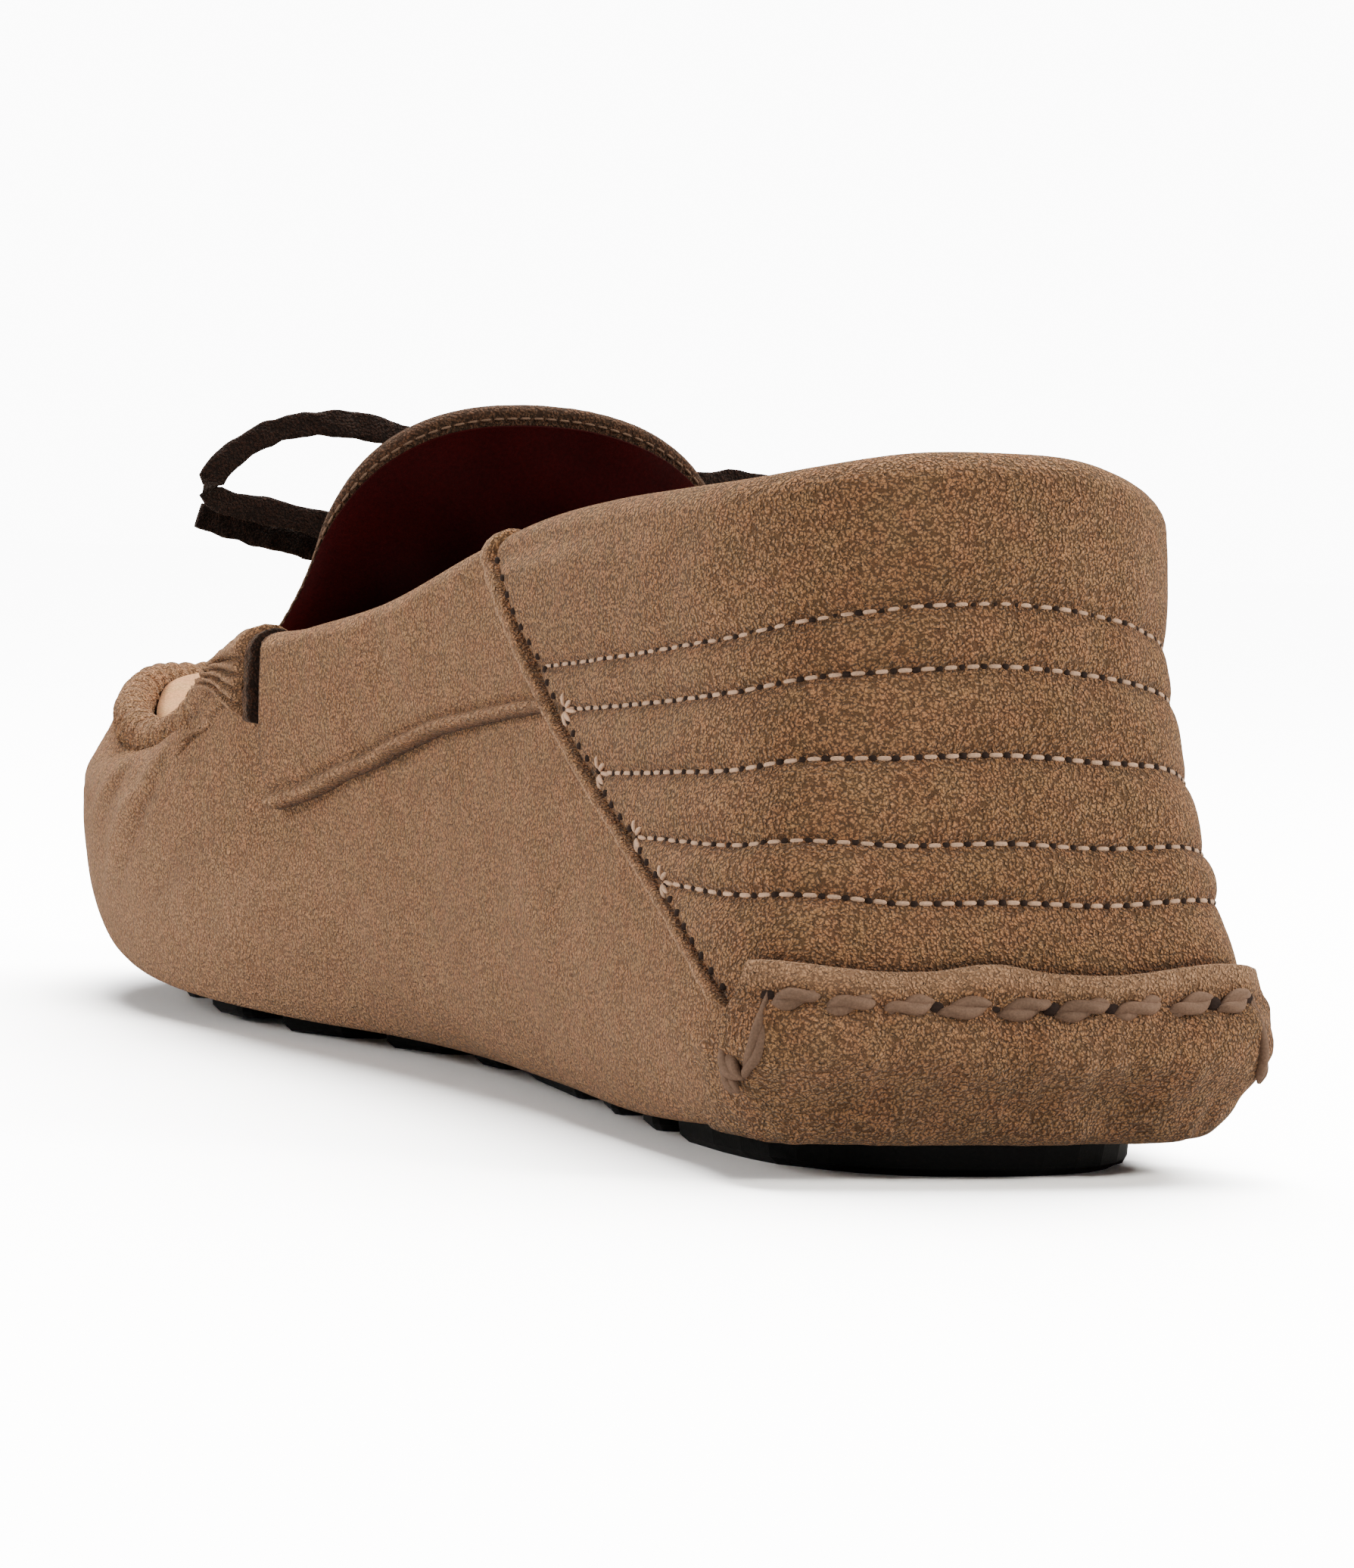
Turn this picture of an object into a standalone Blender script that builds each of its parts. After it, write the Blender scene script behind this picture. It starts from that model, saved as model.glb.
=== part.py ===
# Driving moccasin, right shoe, size EU 41.
# Metres, +Z up, toe along +Y, lateral side along +X. Every piece is its own object.
import math
from collections import namedtuple

import bmesh
import bpy
from mathutils import Vector

mm = 0.001

# Driving dimensions
length = 274 * mm            # heel seam to toe tip of the wrap
ball_width = 95 * mm         # widest forefoot
heel_height = 79 * mm        # collar at the heel, above the wrap's flat bottom
stand = 4.6 * mm             # wrap's flat bottom above the floor
toe_spring = 8.0 * mm        # lift of the toe end
spring_start = 0.58          # share of the length where the toe starts to lift
wall = 2.2 * mm              # suede and lining together
clearance = 0.3 * mm         # gap between pieces that lie on each other

# Overlays and inlays
counter_thickness = 1.2 * mm
panel_thickness = 1.1 * mm
panel_bead = 0.8 * mm        # raised seam along the collar panel's lower edge
flap_thickness = 1.8 * mm
flap_reach = 3.35            # rows that the heel flap covers to each side, low down
flap_taper = 0.8             # rows by which it is narrower at its top edge
apron_thickness = 1.8 * mm
insole_thickness = 2.0 * mm
insole_margin = 0.6 * mm

# Raised toe seam that runs round the apron
lip_width = 4.2 * mm
lip_height = 2.4 * mm
lip_depth = 1.5 * mm
throat_turn = 10.75          # table row where the apron ends at the throat
seam_start, seam_full = 9.9, 10.5  # table rows over which the seam rises to its full size
apron_crown = 8.5 * mm       # rise of the apron's middle at the throat
apron_crown_toe = 0.8 * mm

# Tongue
tongue_height = 34 * mm      # top of the tongue above the throat corners
tongue_thickness = 2.4 * mm
tongue_tuck = 0.5            # rows of the outline over which it lies under the apron
tongue_bend = 11 * mm        # how far behind the apron's edge it turns up
tongue_step = 6 * mm         # how far its lowest corners stand before the throat corners
tongue_lean = 0.4            # how far its rim leans back for each unit of height

# Rubber pads
pad_bevel = 0.9 * mm
pad_draft = 0.4 * mm
pad_corner = 1.6 * mm

# Lace
lace_width = 3.6 * mm
lace_thickness = 1.8 * mm
lace_tube = 2.7 * mm         # diameter of the round stand-in for the flat lace
knot_tube = 6.4 * mm

# Points round the wrap: steps for each table row at the heel, along the sides and at the toe
heel_steps, side_steps, toe_steps = 5, 2, 4
heel_last_row, toe_first_row = 4, 12
side_levels = (0.04, 0.12, 0.2, 0.3, 0.4, 0.55, 0.7, 0.85, 1.0)
counter_square = 2.8         # rows over which the counter's mesh runs straight up
wing_shares = (0.08, 0.16, 0.25, 0.36, 0.5, 0.7, 0.85, 1.0)  # its columns beyond that

# Three outlines of the wrap, a row for each station from the heel centre (row 0) to
# the toe centre (row 16). Along is a share of the length, inner and outer are shares
# of half the ball width, height is a share of the heel height.
Foot = namedtuple("Foot", "along inner outer")
Belly = namedtuple("Belly", "along inner outer height")
Collar = namedtuple("Collar", "along inner outer height_inner height_outer")
Flank = namedtuple("Flank", "lean rise roll drop")

foot_rows = [
    Foot(0.040, 0.000, 0.000), Foot(0.042, 0.230, 0.230), Foot(0.053, 0.420, 0.440),
    Foot(0.082, 0.535, 0.575), Foot(0.125, 0.568, 0.632), Foot(0.190, 0.568, 0.663),
    Foot(0.292, 0.516, 0.663), Foot(0.409, 0.495, 0.663), Foot(0.504, 0.558, 0.726),
    Foot(0.591, 0.705, 0.853), Foot(0.675, 0.832, 0.916), Foot(0.748, 0.863, 0.895),
    Foot(0.818, 0.800, 0.800), Foot(0.880, 0.653, 0.663), Foot(0.927, 0.463, 0.484),
    Foot(0.960, 0.242, 0.263), Foot(0.971, 0.000, 0.000),
]
belly_rows = [
    Belly(0.018, 0.000, 0.000, 0.130), Belly(0.019, 0.295, 0.310, 0.130),
    Belly(0.027, 0.537, 0.568, 0.130), Belly(0.047, 0.632, 0.684, 0.140),
    Belly(0.099, 0.670, 0.747, 0.165), Belly(0.175, 0.684, 0.779, 0.190),
    Belly(0.292, 0.684, 0.800, 0.215), Belly(0.409, 0.684, 0.821, 0.240),
    Belly(0.511, 0.726, 0.853, 0.255), Belly(0.602, 0.832, 0.958, 0.260),
    Belly(0.686, 0.937, 1.021, 0.265), Belly(0.759, 0.968, 1.011, 0.280),
    Belly(0.832, 0.942, 0.945, 0.270), Belly(0.898, 0.805, 0.820, 0.280),
    Belly(0.951, 0.600, 0.615, 0.300), Belly(0.991, 0.305, 0.330, 0.320),
    Belly(1.007, 0.000, 0.000, 0.325),
]
collar_rows = [
    Collar(0.053, 0.000, 0.000, 1.000, 1.000), Collar(0.058, 0.215, 0.215, 0.995, 0.995),
    Collar(0.075, 0.400, 0.400, 0.975, 0.970), Collar(0.106, 0.526, 0.537, 0.950, 0.935),
    Collar(0.153, 0.589, 0.600, 0.930, 0.905), Collar(0.219, 0.632, 0.653, 0.905, 0.880),
    Collar(0.292, 0.653, 0.684, 0.870, 0.850), Collar(0.365, 0.684, 0.705, 0.807, 0.800),
    Collar(0.456, 0.747, 0.758, 0.712, 0.715), Collar(0.540, 0.815, 0.825, 0.652, 0.655),
    Collar(0.613, 0.848, 0.858, 0.612, 0.617), Collar(0.686, 0.863, 0.863, 0.455, 0.475),
    Collar(0.759, 0.855, 0.855, 0.393, 0.425), Collar(0.832, 0.815, 0.820, 0.425, 0.445),
    Collar(0.896, 0.675, 0.685, 0.490, 0.490), Collar(0.940, 0.415, 0.435, 0.499, 0.498),
    Collar(0.957, 0.000, 0.000, 0.498, 0.498),
]
flank_rows = (
    [Flank(0.35, 0.20, 0.00, 0.45)] * 2
    + [Flank(0.20, 0.25, 0.00, 0.45)] * 2
    + [Flank(0.10, 0.25, 0.00, 0.45), Flank(0.30, 0.25, 0.00, 0.45)]
    + [Flank(0.20, 0.30, 0.00, 0.45), Flank(0.10, 0.30, 0.00, 0.40)]
    + [Flank(0.00, 0.30, 0.00, 0.40), Flank(0.00, 0.30, 0.00, 0.35)]
    + [Flank(0.00, 0.40, 0.20, 0.30), Flank(0.00, 0.50, 0.40, 0.15)]
    + [Flank(0.00, 0.50, 0.50, 0.05)] * 5
)
last_row = len(foot_rows) - 1
turn = 2 * last_row

# Half widths of the rubber tread, with the same shares as above
Tread = namedtuple("Tread", "along inner outer")
tread_rows = [
    Tread(0.030, 0.400, 0.440), Tread(0.080, 0.495, 0.535), Tread(0.170, 0.505, 0.590),
    Tread(0.260, 0.470, 0.595), Tread(0.330, 0.430, 0.590), Tread(0.420, 0.390, 0.595),
    Tread(0.480, 0.400, 0.640), Tread(0.540, 0.470, 0.715), Tread(0.600, 0.620, 0.805),
    Tread(0.660, 0.745, 0.860), Tread(0.710, 0.785, 0.840), Tread(0.760, 0.765, 0.775),
    Tread(0.820, 0.675, 0.685), Tread(0.880, 0.545, 0.560), Tread(0.920, 0.420, 0.440),
    Tread(0.960, 0.200, 0.220),
]
# Rubber bars, a row for each, from heel to toe
Bar = namedtuple("Bar", "name start end")
bar_rows = [
    Bar("tread_bar_1", 0.197, 0.228), Bar("tread_bar_2", 0.258, 0.290),
    Bar("tread_square", 0.320, 0.416), Bar("tread_bar_3", 0.445, 0.484),
    Bar("tread_bar_4", 0.513, 0.558), Bar("tread_bar_5", 0.586, 0.631),
    Bar("tread_bar_6", 0.660, 0.698), Bar("tread_bar_7", 0.728, 0.759),
    Bar("tread_bar_8", 0.786, 0.818), Bar("tread_bar_9", 0.843, 0.876),
]
heel_pad_start, heel_pad_end = 0.035, 0.169
toe_pad_start, toe_pad_end = 0.903, 0.949

# Outline of the tongue, a row for each column from the middle to its edge. Across and
# foot are shares of half the ball width, rise is a share of the tongue's height.
TongueRow = namedtuple("TongueRow", "foot across rise")
tongue_rows = [
    TongueRow(0.00, 0.000, 1.00), TongueRow(0.14, 0.190, 0.985), TongueRow(0.28, 0.370, 0.91),
    TongueRow(0.40, 0.520, 0.76), TongueRow(0.51, 0.610, 0.54), TongueRow(0.60, 0.640, 0.32),
    TongueRow(0.67, 0.690, 0.14), TongueRow(0.71, 0.740, 0.03),
]
tongue_skew = -3.0 * mm      # its highest point leans to the medial side

# Lace routes, in millimetres from the knot: across, along, up
knot_route = [(-5, 0, 0), (-2.5, 0.8, 0.6), (0, 1.2, 0.8), (2.5, 0.8, 0.6), (5, 0, 0)]
loop_medial_route = [
    (-2.6, 1.0, 4.2), (-4.2, 1.4, 9), (-6.5, 1.8, 14), (-10, 2.2, 18.2), (-15, 2.6, 20.8),
    (-21, 3.0, 22), (-27, 3.3, 22), (-32.5, 3.5, 20.8), (-37, 3.6, 18.4), (-40.6, 3.6, 15.2),
    (-41.6, 3.6, 12.2), (-39, 3.5, 10.6), (-34, 3.3, 9.8), (-28, 3.0, 8.7), (-22, 2.6, 7.4),
    (-16.5, 2.2, 5.8), (-12, 1.8, 4.0), (-8.2, 1.4, 2.4),
]
loop_lateral_route = [
    (2.6, 1.0, 4.3), (4.2, 1.4, 7.6), (9, 2.2, 10.8), (17, 2.8, 12.8), (24, 3.4, 14.6),
    (31, 4.0, 15.7), (38, 4.5, 16.0), (44, 5.0, 14.8), (48, 5.3, 11.6), (48.6, 5.4, 7.6),
    (45.4, 5.2, 4.6), (40, 4.8, 3.4), (33, 4.2, 3.0), (26, 3.6, 2.8), (19, 2.9, 2.4),
    (13, 2.2, 1.9), (8.4, 1.4, 1.4),
]
end_medial_route = [
    (-7.0, 3.0, -0.6), (-11.5, 4.6, 0.8), (-16.5, 5.4, 2.4), (-22, 5.6, 4.0), (-28, 5.7, 5.4),
    (-34, 5.8, 6.6), (-39, 5.9, 7.8), (-42.4, 6.0, 8.8),
]
end_lateral_route = [
    (6.0, 2.7, -1.1), (11.0, 5.9, -2.5), (16.5, 9.2, -4.0), (22.5, 11.6, -5.4), (29, 13.4, -7.0),
    (35, 14.6, -9.0), (40, 15.2, -11.2),
]


def clear_scene():
    for old in list(bpy.data.objects):
        bpy.data.objects.remove(old, do_unlink=True)


def lift(y):
    """Toe spring at a place along the shoe."""
    start = spring_start * length
    share = max(0.0, (y - start) / (length - start))
    return toe_spring * share ** 1.6


def round_table(rows, height_inner, height_outer):
    """Control points of one closed outline, heel centre first, medial side first."""
    half = ball_width / 2
    inner = [Vector((-r.inner * half, r.along * length, height_inner(r))) for r in rows]
    outer = [Vector((r.outer * half, r.along * length, height_outer(r))) for r in rows]
    return inner + outer[-2:0:-1]


def foot_height(row):
    return stand + lift(row.along * length)


def belly_height(row):
    return stand + row.height * heel_height + 0.6 * lift(row.along * length)


foot_ring = round_table(foot_rows, foot_height, foot_height)
belly_ring = round_table(belly_rows, belly_height, belly_height)
collar_ring = round_table(
    collar_rows,
    lambda r: stand + r.height_inner * heel_height,
    lambda r: stand + r.height_outer * heel_height,
)
flank_ring = [Vector(r) for r in flank_rows] + [Vector(r) for r in flank_rows[-2:0:-1]]


def blend(ring, u):
    """Smooth closed curve through the ring's points, u counts rows."""
    u = u % turn
    i = int(math.floor(u))
    f = u - i
    a, b, c, d = (ring[(i + k) % turn] for k in (-1, 0, 1, 2))
    return 0.5 * (2 * b + (c - a) * f + (2 * a - 5 * b + 4 * c - d) * f * f
                  + (3 * b - a - 3 * c + d) * f ** 3)


def skin(u, t):
    """Outer surface of the wrap. t runs from the flat bottom (-1) by the belly (0) to the top (1)."""
    foot = blend(foot_ring, u)
    belly = blend(belly_ring, u)
    if t <= 0:
        angle = (t + 1) * math.pi / 2
        flat = foot.lerp(belly, math.sin(angle))
        flat.z = foot.z + (belly.z - foot.z) * (1 - math.cos(angle))
        return flat
    top = blend(collar_ring, u)
    flank = blend(flank_ring, u)
    inward = Vector((top.x - belly.x, top.y - belly.y, 0))
    rise = Vector((0, 0, top.z - belly.z))
    low = belly + flank[0] * inward + flank[1] * rise
    high = top - flank[2] * inward - flank[3] * rise
    s = 1 - t
    return s ** 3 * belly + 3 * s * s * t * low + 3 * s * t * t * high + t ** 3 * top


def outward(u, t):
    """Unit normal of the outer surface."""
    step = 0.02
    side = skin(u + step, t) - skin(u - step, t)
    low = max(t - step, -1)
    high = min(t + step, 1)
    up = skin(u, high) - skin(u, low)
    return up.cross(side).normalized()


def layer(u, t, distance):
    """Point at a distance outside (or, below zero, inside) the outer surface."""
    return skin(u, t) + distance * outward(u, t)


def plan_inward(ring, u):
    """Horizontal unit vector that points into a closed outline."""
    along = blend(ring, u + 0.05) - blend(ring, u - 0.05)
    return Vector((along.y, -along.x, 0)).normalized()


def smooth_step(low, high, value):
    share = min(1.0, max(0.0, (value - low) / (high - low)))
    return share * share * (3 - 2 * share)


def fore_share(u):
    """1 along the toe seam, 0 along the foot opening."""
    side = min(u % turn, turn - u % turn)
    return smooth_step(seam_start, seam_full, side)


def make_material(name, colour, roughness, metallic=0.0):
    material = bpy.data.materials.new(name)
    material.use_nodes = True
    shader = material.node_tree.nodes["Principled BSDF"]
    shader.inputs["Base Color"].default_value = (*colour, 1)
    shader.inputs["Roughness"].default_value = roughness
    shader.inputs["Metallic"].default_value = metallic
    return material


def finish_mesh(name, work, material):
    """Turn a bmesh into a named object under the shoe's empty."""
    bmesh.ops.recalc_face_normals(work, faces=work.faces)
    for face in work.faces:
        face.smooth = True
    mesh = bpy.data.meshes.new(name)
    work.to_mesh(mesh)
    work.free()
    mesh.materials.append(material)
    thing = bpy.data.objects.new(name, mesh)
    bpy.context.scene.collection.objects.link(thing)
    thing.parent = shoe
    return thing


def add_ring(work, points):
    return [work.verts.new(p) for p in points]


def join_rings(work, first, second):
    """Side faces between two closed rings of the same count."""
    count = len(first)
    for i in range(count):
        j = (i + 1) % count
        work.faces.new((first[i], first[j], second[j], second[i]))


def fill_across(work, ring):
    """Close a heel-to-toe ring with strips from its medial to its lateral side."""
    count = len(ring)
    half = count // 2
    work.faces.new((ring[0], ring[1], ring[count - 1]))
    for i in range(1, half - 1):
        work.faces.new((ring[i], ring[i + 1], ring[count - i - 1], ring[count - i]))
    work.faces.new((ring[half - 1], ring[half], ring[half + 1]))


def make_sheet(name, outer, inner, material):
    """Closed solid between two grids of points with the same rows and columns."""
    work = bmesh.new()
    front = [add_ring(work, row) for row in outer]
    back = [add_ring(work, row) for row in inner]
    rows = len(front)
    columns = len(front[0])
    for grid in (front, back):
        for r in range(rows - 1):
            for c in range(columns - 1):
                work.faces.new((grid[r][c], grid[r][c + 1], grid[r + 1][c + 1], grid[r + 1][c]))
    for r in range(rows - 1):
        for c in (0, columns - 1):
            work.faces.new((front[r][c], front[r + 1][c], back[r + 1][c], back[r][c]))
    for c in range(columns - 1):
        for r in (0, rows - 1):
            work.faces.new((front[r][c], front[r][c + 1], back[r][c + 1], back[r][c]))
    return finish_mesh(name, work, material)


def shares(count):
    return [i / (count - 1) for i in range(count)]


def side_turns():
    """Places round one side of the wrap, closer together at the heel and the toe."""
    places = []
    for row in range(last_row):
        steps = side_steps
        if row < heel_last_row:
            steps = heel_steps
        elif row >= toe_first_row:
            steps = toe_steps
        places += [row + i / steps for i in range(steps)]
    return places + [last_row]


def all_turns():
    side = side_turns()
    return side + [turn - u for u in side[-2:0:-1]]


def make_upper(material):
    """The wrap: bottom, sides and toe in one hollow solid, open at the collar and over the apron."""
    turns = all_turns()
    outer_levels = (-1, -0.72, -0.45, -0.2) + side_levels
    inner_levels = (0.97, 0.8, 0.6, 0.4, 0.2, 0, -0.35, -0.7, -1)
    work = bmesh.new()
    rings = [add_ring(work, [skin(u, t) for u in turns]) for t in outer_levels]
    outer_lip, crest, inner_lip = [], [], []
    for u in turns:
        top = skin(u, 1)
        inward = plan_inward(collar_ring, u)
        share = fore_share(u)
        reach = share * lip_width + (1 - share) * wall
        outer_lip.append(top + inward * 0.1 * reach + Vector((0, 0, share * lip_height * 0.75)))
        crest.append(top + inward * 0.4 * reach + Vector((0, 0, share * lip_height)))
        inner_lip.append(top + inward * reach + Vector((0, 0, -share * lip_depth)))
    rings += [add_ring(work, points) for points in (outer_lip, crest, inner_lip)]
    rings += [add_ring(work, [layer(u, t, -wall) for u in turns]) for t in inner_levels]
    for first, second in zip(rings, rings[1:]):
        join_rings(work, first, second)
    fill_across(work, rings[0])
    fill_across(work, rings[-1])
    return finish_mesh("upper", work, material)


def counter_edge(t):
    """Where the counter's front seam runs, in rows from the heel centre."""
    return 2.7 + 6.0 * t - 2.0 * t * t


def make_counter(material):
    """Padded heel counter with its two front seams slanting down to the heel flap."""
    levels = side_levels
    near = clearance
    far = clearance + counter_thickness
    outer, inner = [], []
    for t in levels:
        wing = counter_edge(t) - counter_square
        half = [counter_square * s for s in shares(15)]
        half += [counter_square + wing * s for s in wing_shares]
        columns = [-u for u in half[:0:-1]] + half
        outer.append([layer(u, t, far) for u in columns])
        inner.append([layer(u, t, near) for u in columns])
    return make_sheet("counter", outer, inner, material)


def panel_front(t):
    """Front edge of the collar panel, in rows from the heel centre."""
    return 8.45 + 2.4 * t - 0.9 * t * t


def panel_low(share):
    """Level of the collar panel's lower seam between the counter (0) and its front edge (1)."""
    return 0.60 - 0.06 * share - 0.31 * share ** 4


def make_collar_panel(name, side, material):
    """Strip along the foot opening, with a raised seam along its lower edge."""
    seam_gap = 0.025
    rises = (0.0, 0.07, 0.14, 0.28, 0.42, 0.58, 0.79, 1.0)
    bead = (0.6, 1.0, 0.0, 0.0, 0.0, 0.0, 0.0, 0.0)
    outer, inner = [], []
    for rise, height in zip(rises, bead):
        far_row, near_row = [], []
        for share in shares(13):
            low = panel_low(share)
            t = low + (1 - low) * rise
            start = counter_edge(t) + seam_gap
            u = start + (panel_front(t) - start) * share
            u = u if side < 0 else turn - u
            far_row.append(layer(u, t, clearance + panel_thickness + height * panel_bead))
            near_row.append(layer(u, t, clearance))
        outer.append(far_row)
        inner.append(near_row)
    return make_sheet(name, outer, inner, material)


def make_heel_flap(material):
    """Edge of the wrap folded up over the counter's foot and sewn down by hand."""
    levels = (-0.8, -0.65, -0.5, -0.35, -0.2, -0.08, 0.04, 0.12, 0.2)
    outer, inner = [], []
    for t in levels:
        over = smooth_step(-0.3, 0.0, t)
        near = clearance + over * (counter_thickness + clearance)
        edge = flap_reach - flap_taper * smooth_step(-0.12, 0.2, t)
        columns = [edge * (2 * s - 1) for s in shares(29)]
        outer.append([layer(u, t, near + flap_thickness) for u in columns])
        inner.append([layer(u, t, near) for u in columns])
    return make_sheet("heel_flap", outer, inner, material)


def apron_rim(u):
    """Edge of the apron, inside the raised toe seam."""
    reach = lip_width + clearance
    return blend(collar_ring, u) + plan_inward(collar_ring, u) * reach


def apron_top(u, s):
    """Top surface of the apron between its medial (s = 0) and lateral (s = 1) edge."""
    inner = apron_rim(u)
    outer = apron_rim(turn - u)
    share = (last_row - u) / (last_row - throat_turn)
    crown = apron_crown_toe + (apron_crown - apron_crown_toe) * max(0.0, share) ** 1.5
    point = inner.lerp(outer, s)
    point.z += crown * 4 * s * (1 - s)
    return point


def make_apron(material):
    """Plug over the toes, sewn in at the raised seam."""
    stations = [throat_turn + (last_row - 0.12 - throat_turn) * s for s in shares(16)]
    across = shares(9)
    outer = [[apron_top(u, s) for s in across] for u in stations]
    drop = Vector((0, 0, -apron_thickness))
    inner = [[p + drop for p in row] for row in outer]
    return make_sheet("apron", outer, inner, material)


def throat_centre(s):
    """Rear edge of the apron across the throat."""
    return apron_top(throat_turn, s)


def tongue_point(share, side, climb):
    """Middle of the tongue's sheet. Share picks its column, climb runs up the column."""
    place = share * (len(tongue_rows) - 1)
    i = min(int(place), len(tongue_rows) - 2)
    f = place - i
    row = [a + (b - a) * f for a, b in zip(tongue_rows[i], tongue_rows[i + 1])]
    half = ball_width / 2
    foot_x = side * row[0] * half
    span = throat_centre(1).x - throat_centre(0).x
    s = (foot_x - throat_centre(0).x) / span
    under = Vector((0, 0, -apron_thickness - clearance - tongue_thickness * 0.6))
    root = apron_top(throat_turn + tongue_tuck, s) + under
    bend = throat_centre(s) + under + Vector((0, -tongue_bend, 0))
    corner_height = blend(collar_ring, 10).z
    tip = Vector((side * row[1] * half + tongue_skew * (1 - share), 0, 0))
    tip.z = corner_height + row[2] * tongue_height
    tip.y = blend(collar_ring, 10).y + tongue_step - tongue_lean * row[2] * tongue_height
    k = 1 - climb
    return k * k * root + 2 * k * climb * bend + climb * climb * tip


def tongue_column(place):
    """Share and side of a column, where place runs from the medial edge (-1) to the lateral (1)."""
    return abs(place), (-1 if place < 0 else 1)


def tongue_face(place, climb, distance):
    share, side = tongue_column(place)
    step = 0.02
    left = tongue_point(*tongue_column(max(place - step, -1)), climb)
    right = tongue_point(*tongue_column(min(place + step, 1)), climb)
    low = tongue_point(share, side, max(climb - step, 0))
    high = tongue_point(share, side, min(climb + step, 1))
    normal = (right - left).cross(high - low).normalized()
    return tongue_point(share, side, climb) - distance * normal


def make_tongue(material):
    """Tall tongue that stands up behind the bow."""
    places = [2 * s - 1 for s in shares(21)]
    climbs = shares(9)
    half = tongue_thickness / 2
    outer = [[tongue_face(p, c, half) for p in places] for c in climbs]
    inner = [[tongue_face(p, c, -half) for p in places] for c in climbs]
    return make_sheet("tongue", outer, inner, material)


def make_insole(material):
    """Sock that lies in the wrap."""
    work = bmesh.new()
    turns = [turn * i / 64 for i in range(64)]
    bottom = wall + clearance
    edge = [blend(foot_ring, u) + plan_inward(foot_ring, u) * insole_margin for u in turns]
    low = add_ring(work, [p + Vector((0, 0, bottom)) for p in edge])
    high = add_ring(work, [p + Vector((0, 0, bottom + insole_thickness)) for p in edge])
    join_rings(work, low, high)
    fill_across(work, low)
    fill_across(work, high)
    return finish_mesh("insole", work, material)


def tread_half(along, side):
    """Half width of the tread at a share of the length."""
    rows = tread_rows
    along = min(max(along, rows[0].along), rows[-1].along)
    for first, second in zip(rows, rows[1:]):
        if along <= second.along:
            f = (along - first.along) / (second.along - first.along)
            inner = first.inner + (second.inner - first.inner) * f
            outer = first.outer + (second.outer - first.outer) * f
            return (inner if side < 0 else outer) * ball_width / 2
    return 0.0


def make_pad(name, outline, material):
    """Rubber block below the wrap: outline points run round the pad in plan."""
    work = bmesh.new()
    centre = sum((Vector(p) for p in outline), Vector((0, 0))) / len(outline)
    thickness = stand - clearance

    def level(inset, share):
        ring = []
        for x, y in outline:
            reach = Vector((x, y)) - centre
            px = centre.x + reach.x * (1 - inset / max(abs(reach.x), inset * 2, 1e-6))
            py = centre.y + reach.y * (1 - inset / max(abs(reach.y), inset * 2, 1e-6))
            ring.append(Vector((px, py, lift(py) + thickness * share)))
        return add_ring(work, ring)

    top = level(0.0, 1.0)
    side = level(pad_draft, pad_bevel / thickness)
    sole = level(pad_draft + pad_bevel, 0.0)
    join_rings(work, top, side)
    join_rings(work, side, sole)
    work.faces.new(top)
    work.faces.new(sole)
    return finish_mesh(name, work, material)


def bar_outline(start, end):
    """Plan of a bar across the sole, with small round corners."""
    points = []
    y0 = start * length
    y1 = end * length
    corner = pad_corner
    for side, first, second in ((-1, y0, y1), (1, y1, y0)):
        sign = 1 if second > first else -1
        for along, way in ((first, sign), (second, -sign)):
            half = tread_half(along / length, side)
            if way == sign:
                points.append((side * (half - corner), along))
                points.append((side * (half - 0.3 * corner), along + 0.3 * corner * way))
                points.append((side * half, along + corner * way))
            else:
                points.append((side * half, along + corner * way))
                points.append((side * (half - 0.3 * corner), along + 0.3 * corner * way))
                points.append((side * (half - corner), along))
    return points


def round_pad_outline(flat, tip, fullness):
    """Plan of a pad with one straight edge and one round end."""
    points = []
    inner = tread_half(flat, -1)
    outer = tread_half(flat, 1)
    steps = 18
    for i in range(steps + 1):
        angle = math.pi * i / steps
        across = math.cos(angle)
        reach = math.sin(angle)
        x = math.copysign(abs(across) ** (2 / fullness), across)
        y = reach ** (2 / fullness)
        points.append((-x * (inner if x > 0 else outer), (flat + (tip - flat) * y) * length))
    return points


def make_tread(material):
    pads = [make_pad("heel_pad", round_pad_outline(heel_pad_end, heel_pad_start, 2.7), material)]
    for bar in bar_rows:
        pads.append(make_pad(bar.name, bar_outline(bar.start, bar.end), material))
    pads.append(make_pad("toe_pad", round_pad_outline(toe_pad_start, toe_pad_end, 2.1), material))
    return pads


def make_lace_bar(material):
    """Lace that lies across the front of the tongue, between its two holes."""
    climb = 0.5
    near = tongue_thickness / 2 + clearance
    far = near + lace_thickness
    reach = 0.5 * lace_width / tongue_height
    places = [0.34 * (2 * s - 1) for s in shares(9)]
    outer = [[tongue_face(p, climb + c, far) for p in places] for c in (-reach, reach)]
    inner = [[tongue_face(p, climb + c, near) for p in places] for c in (-reach, reach)]
    return make_sheet("lace_bar", outer, inner, material)


def make_cord(name, route, start, diameter, material):
    """Round stand-in for a stretch of lace that lies free."""
    curve = bpy.data.curves.new(name, "CURVE")
    curve.dimensions = "3D"
    curve.bevel_depth = diameter / 2
    curve.bevel_resolution = 2
    curve.use_fill_caps = True
    spline = curve.splines.new("POLY")
    spline.points.add(len(route) - 1)
    for point, (x, y, z) in zip(spline.points, route):
        point.co = (start.x + x * mm, start.y + y * mm, start.z + z * mm, 1)
    curve.materials.append(material)
    thing = bpy.data.objects.new(name, curve)
    bpy.context.scene.collection.objects.link(thing)
    thing.parent = shoe
    return thing


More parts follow.
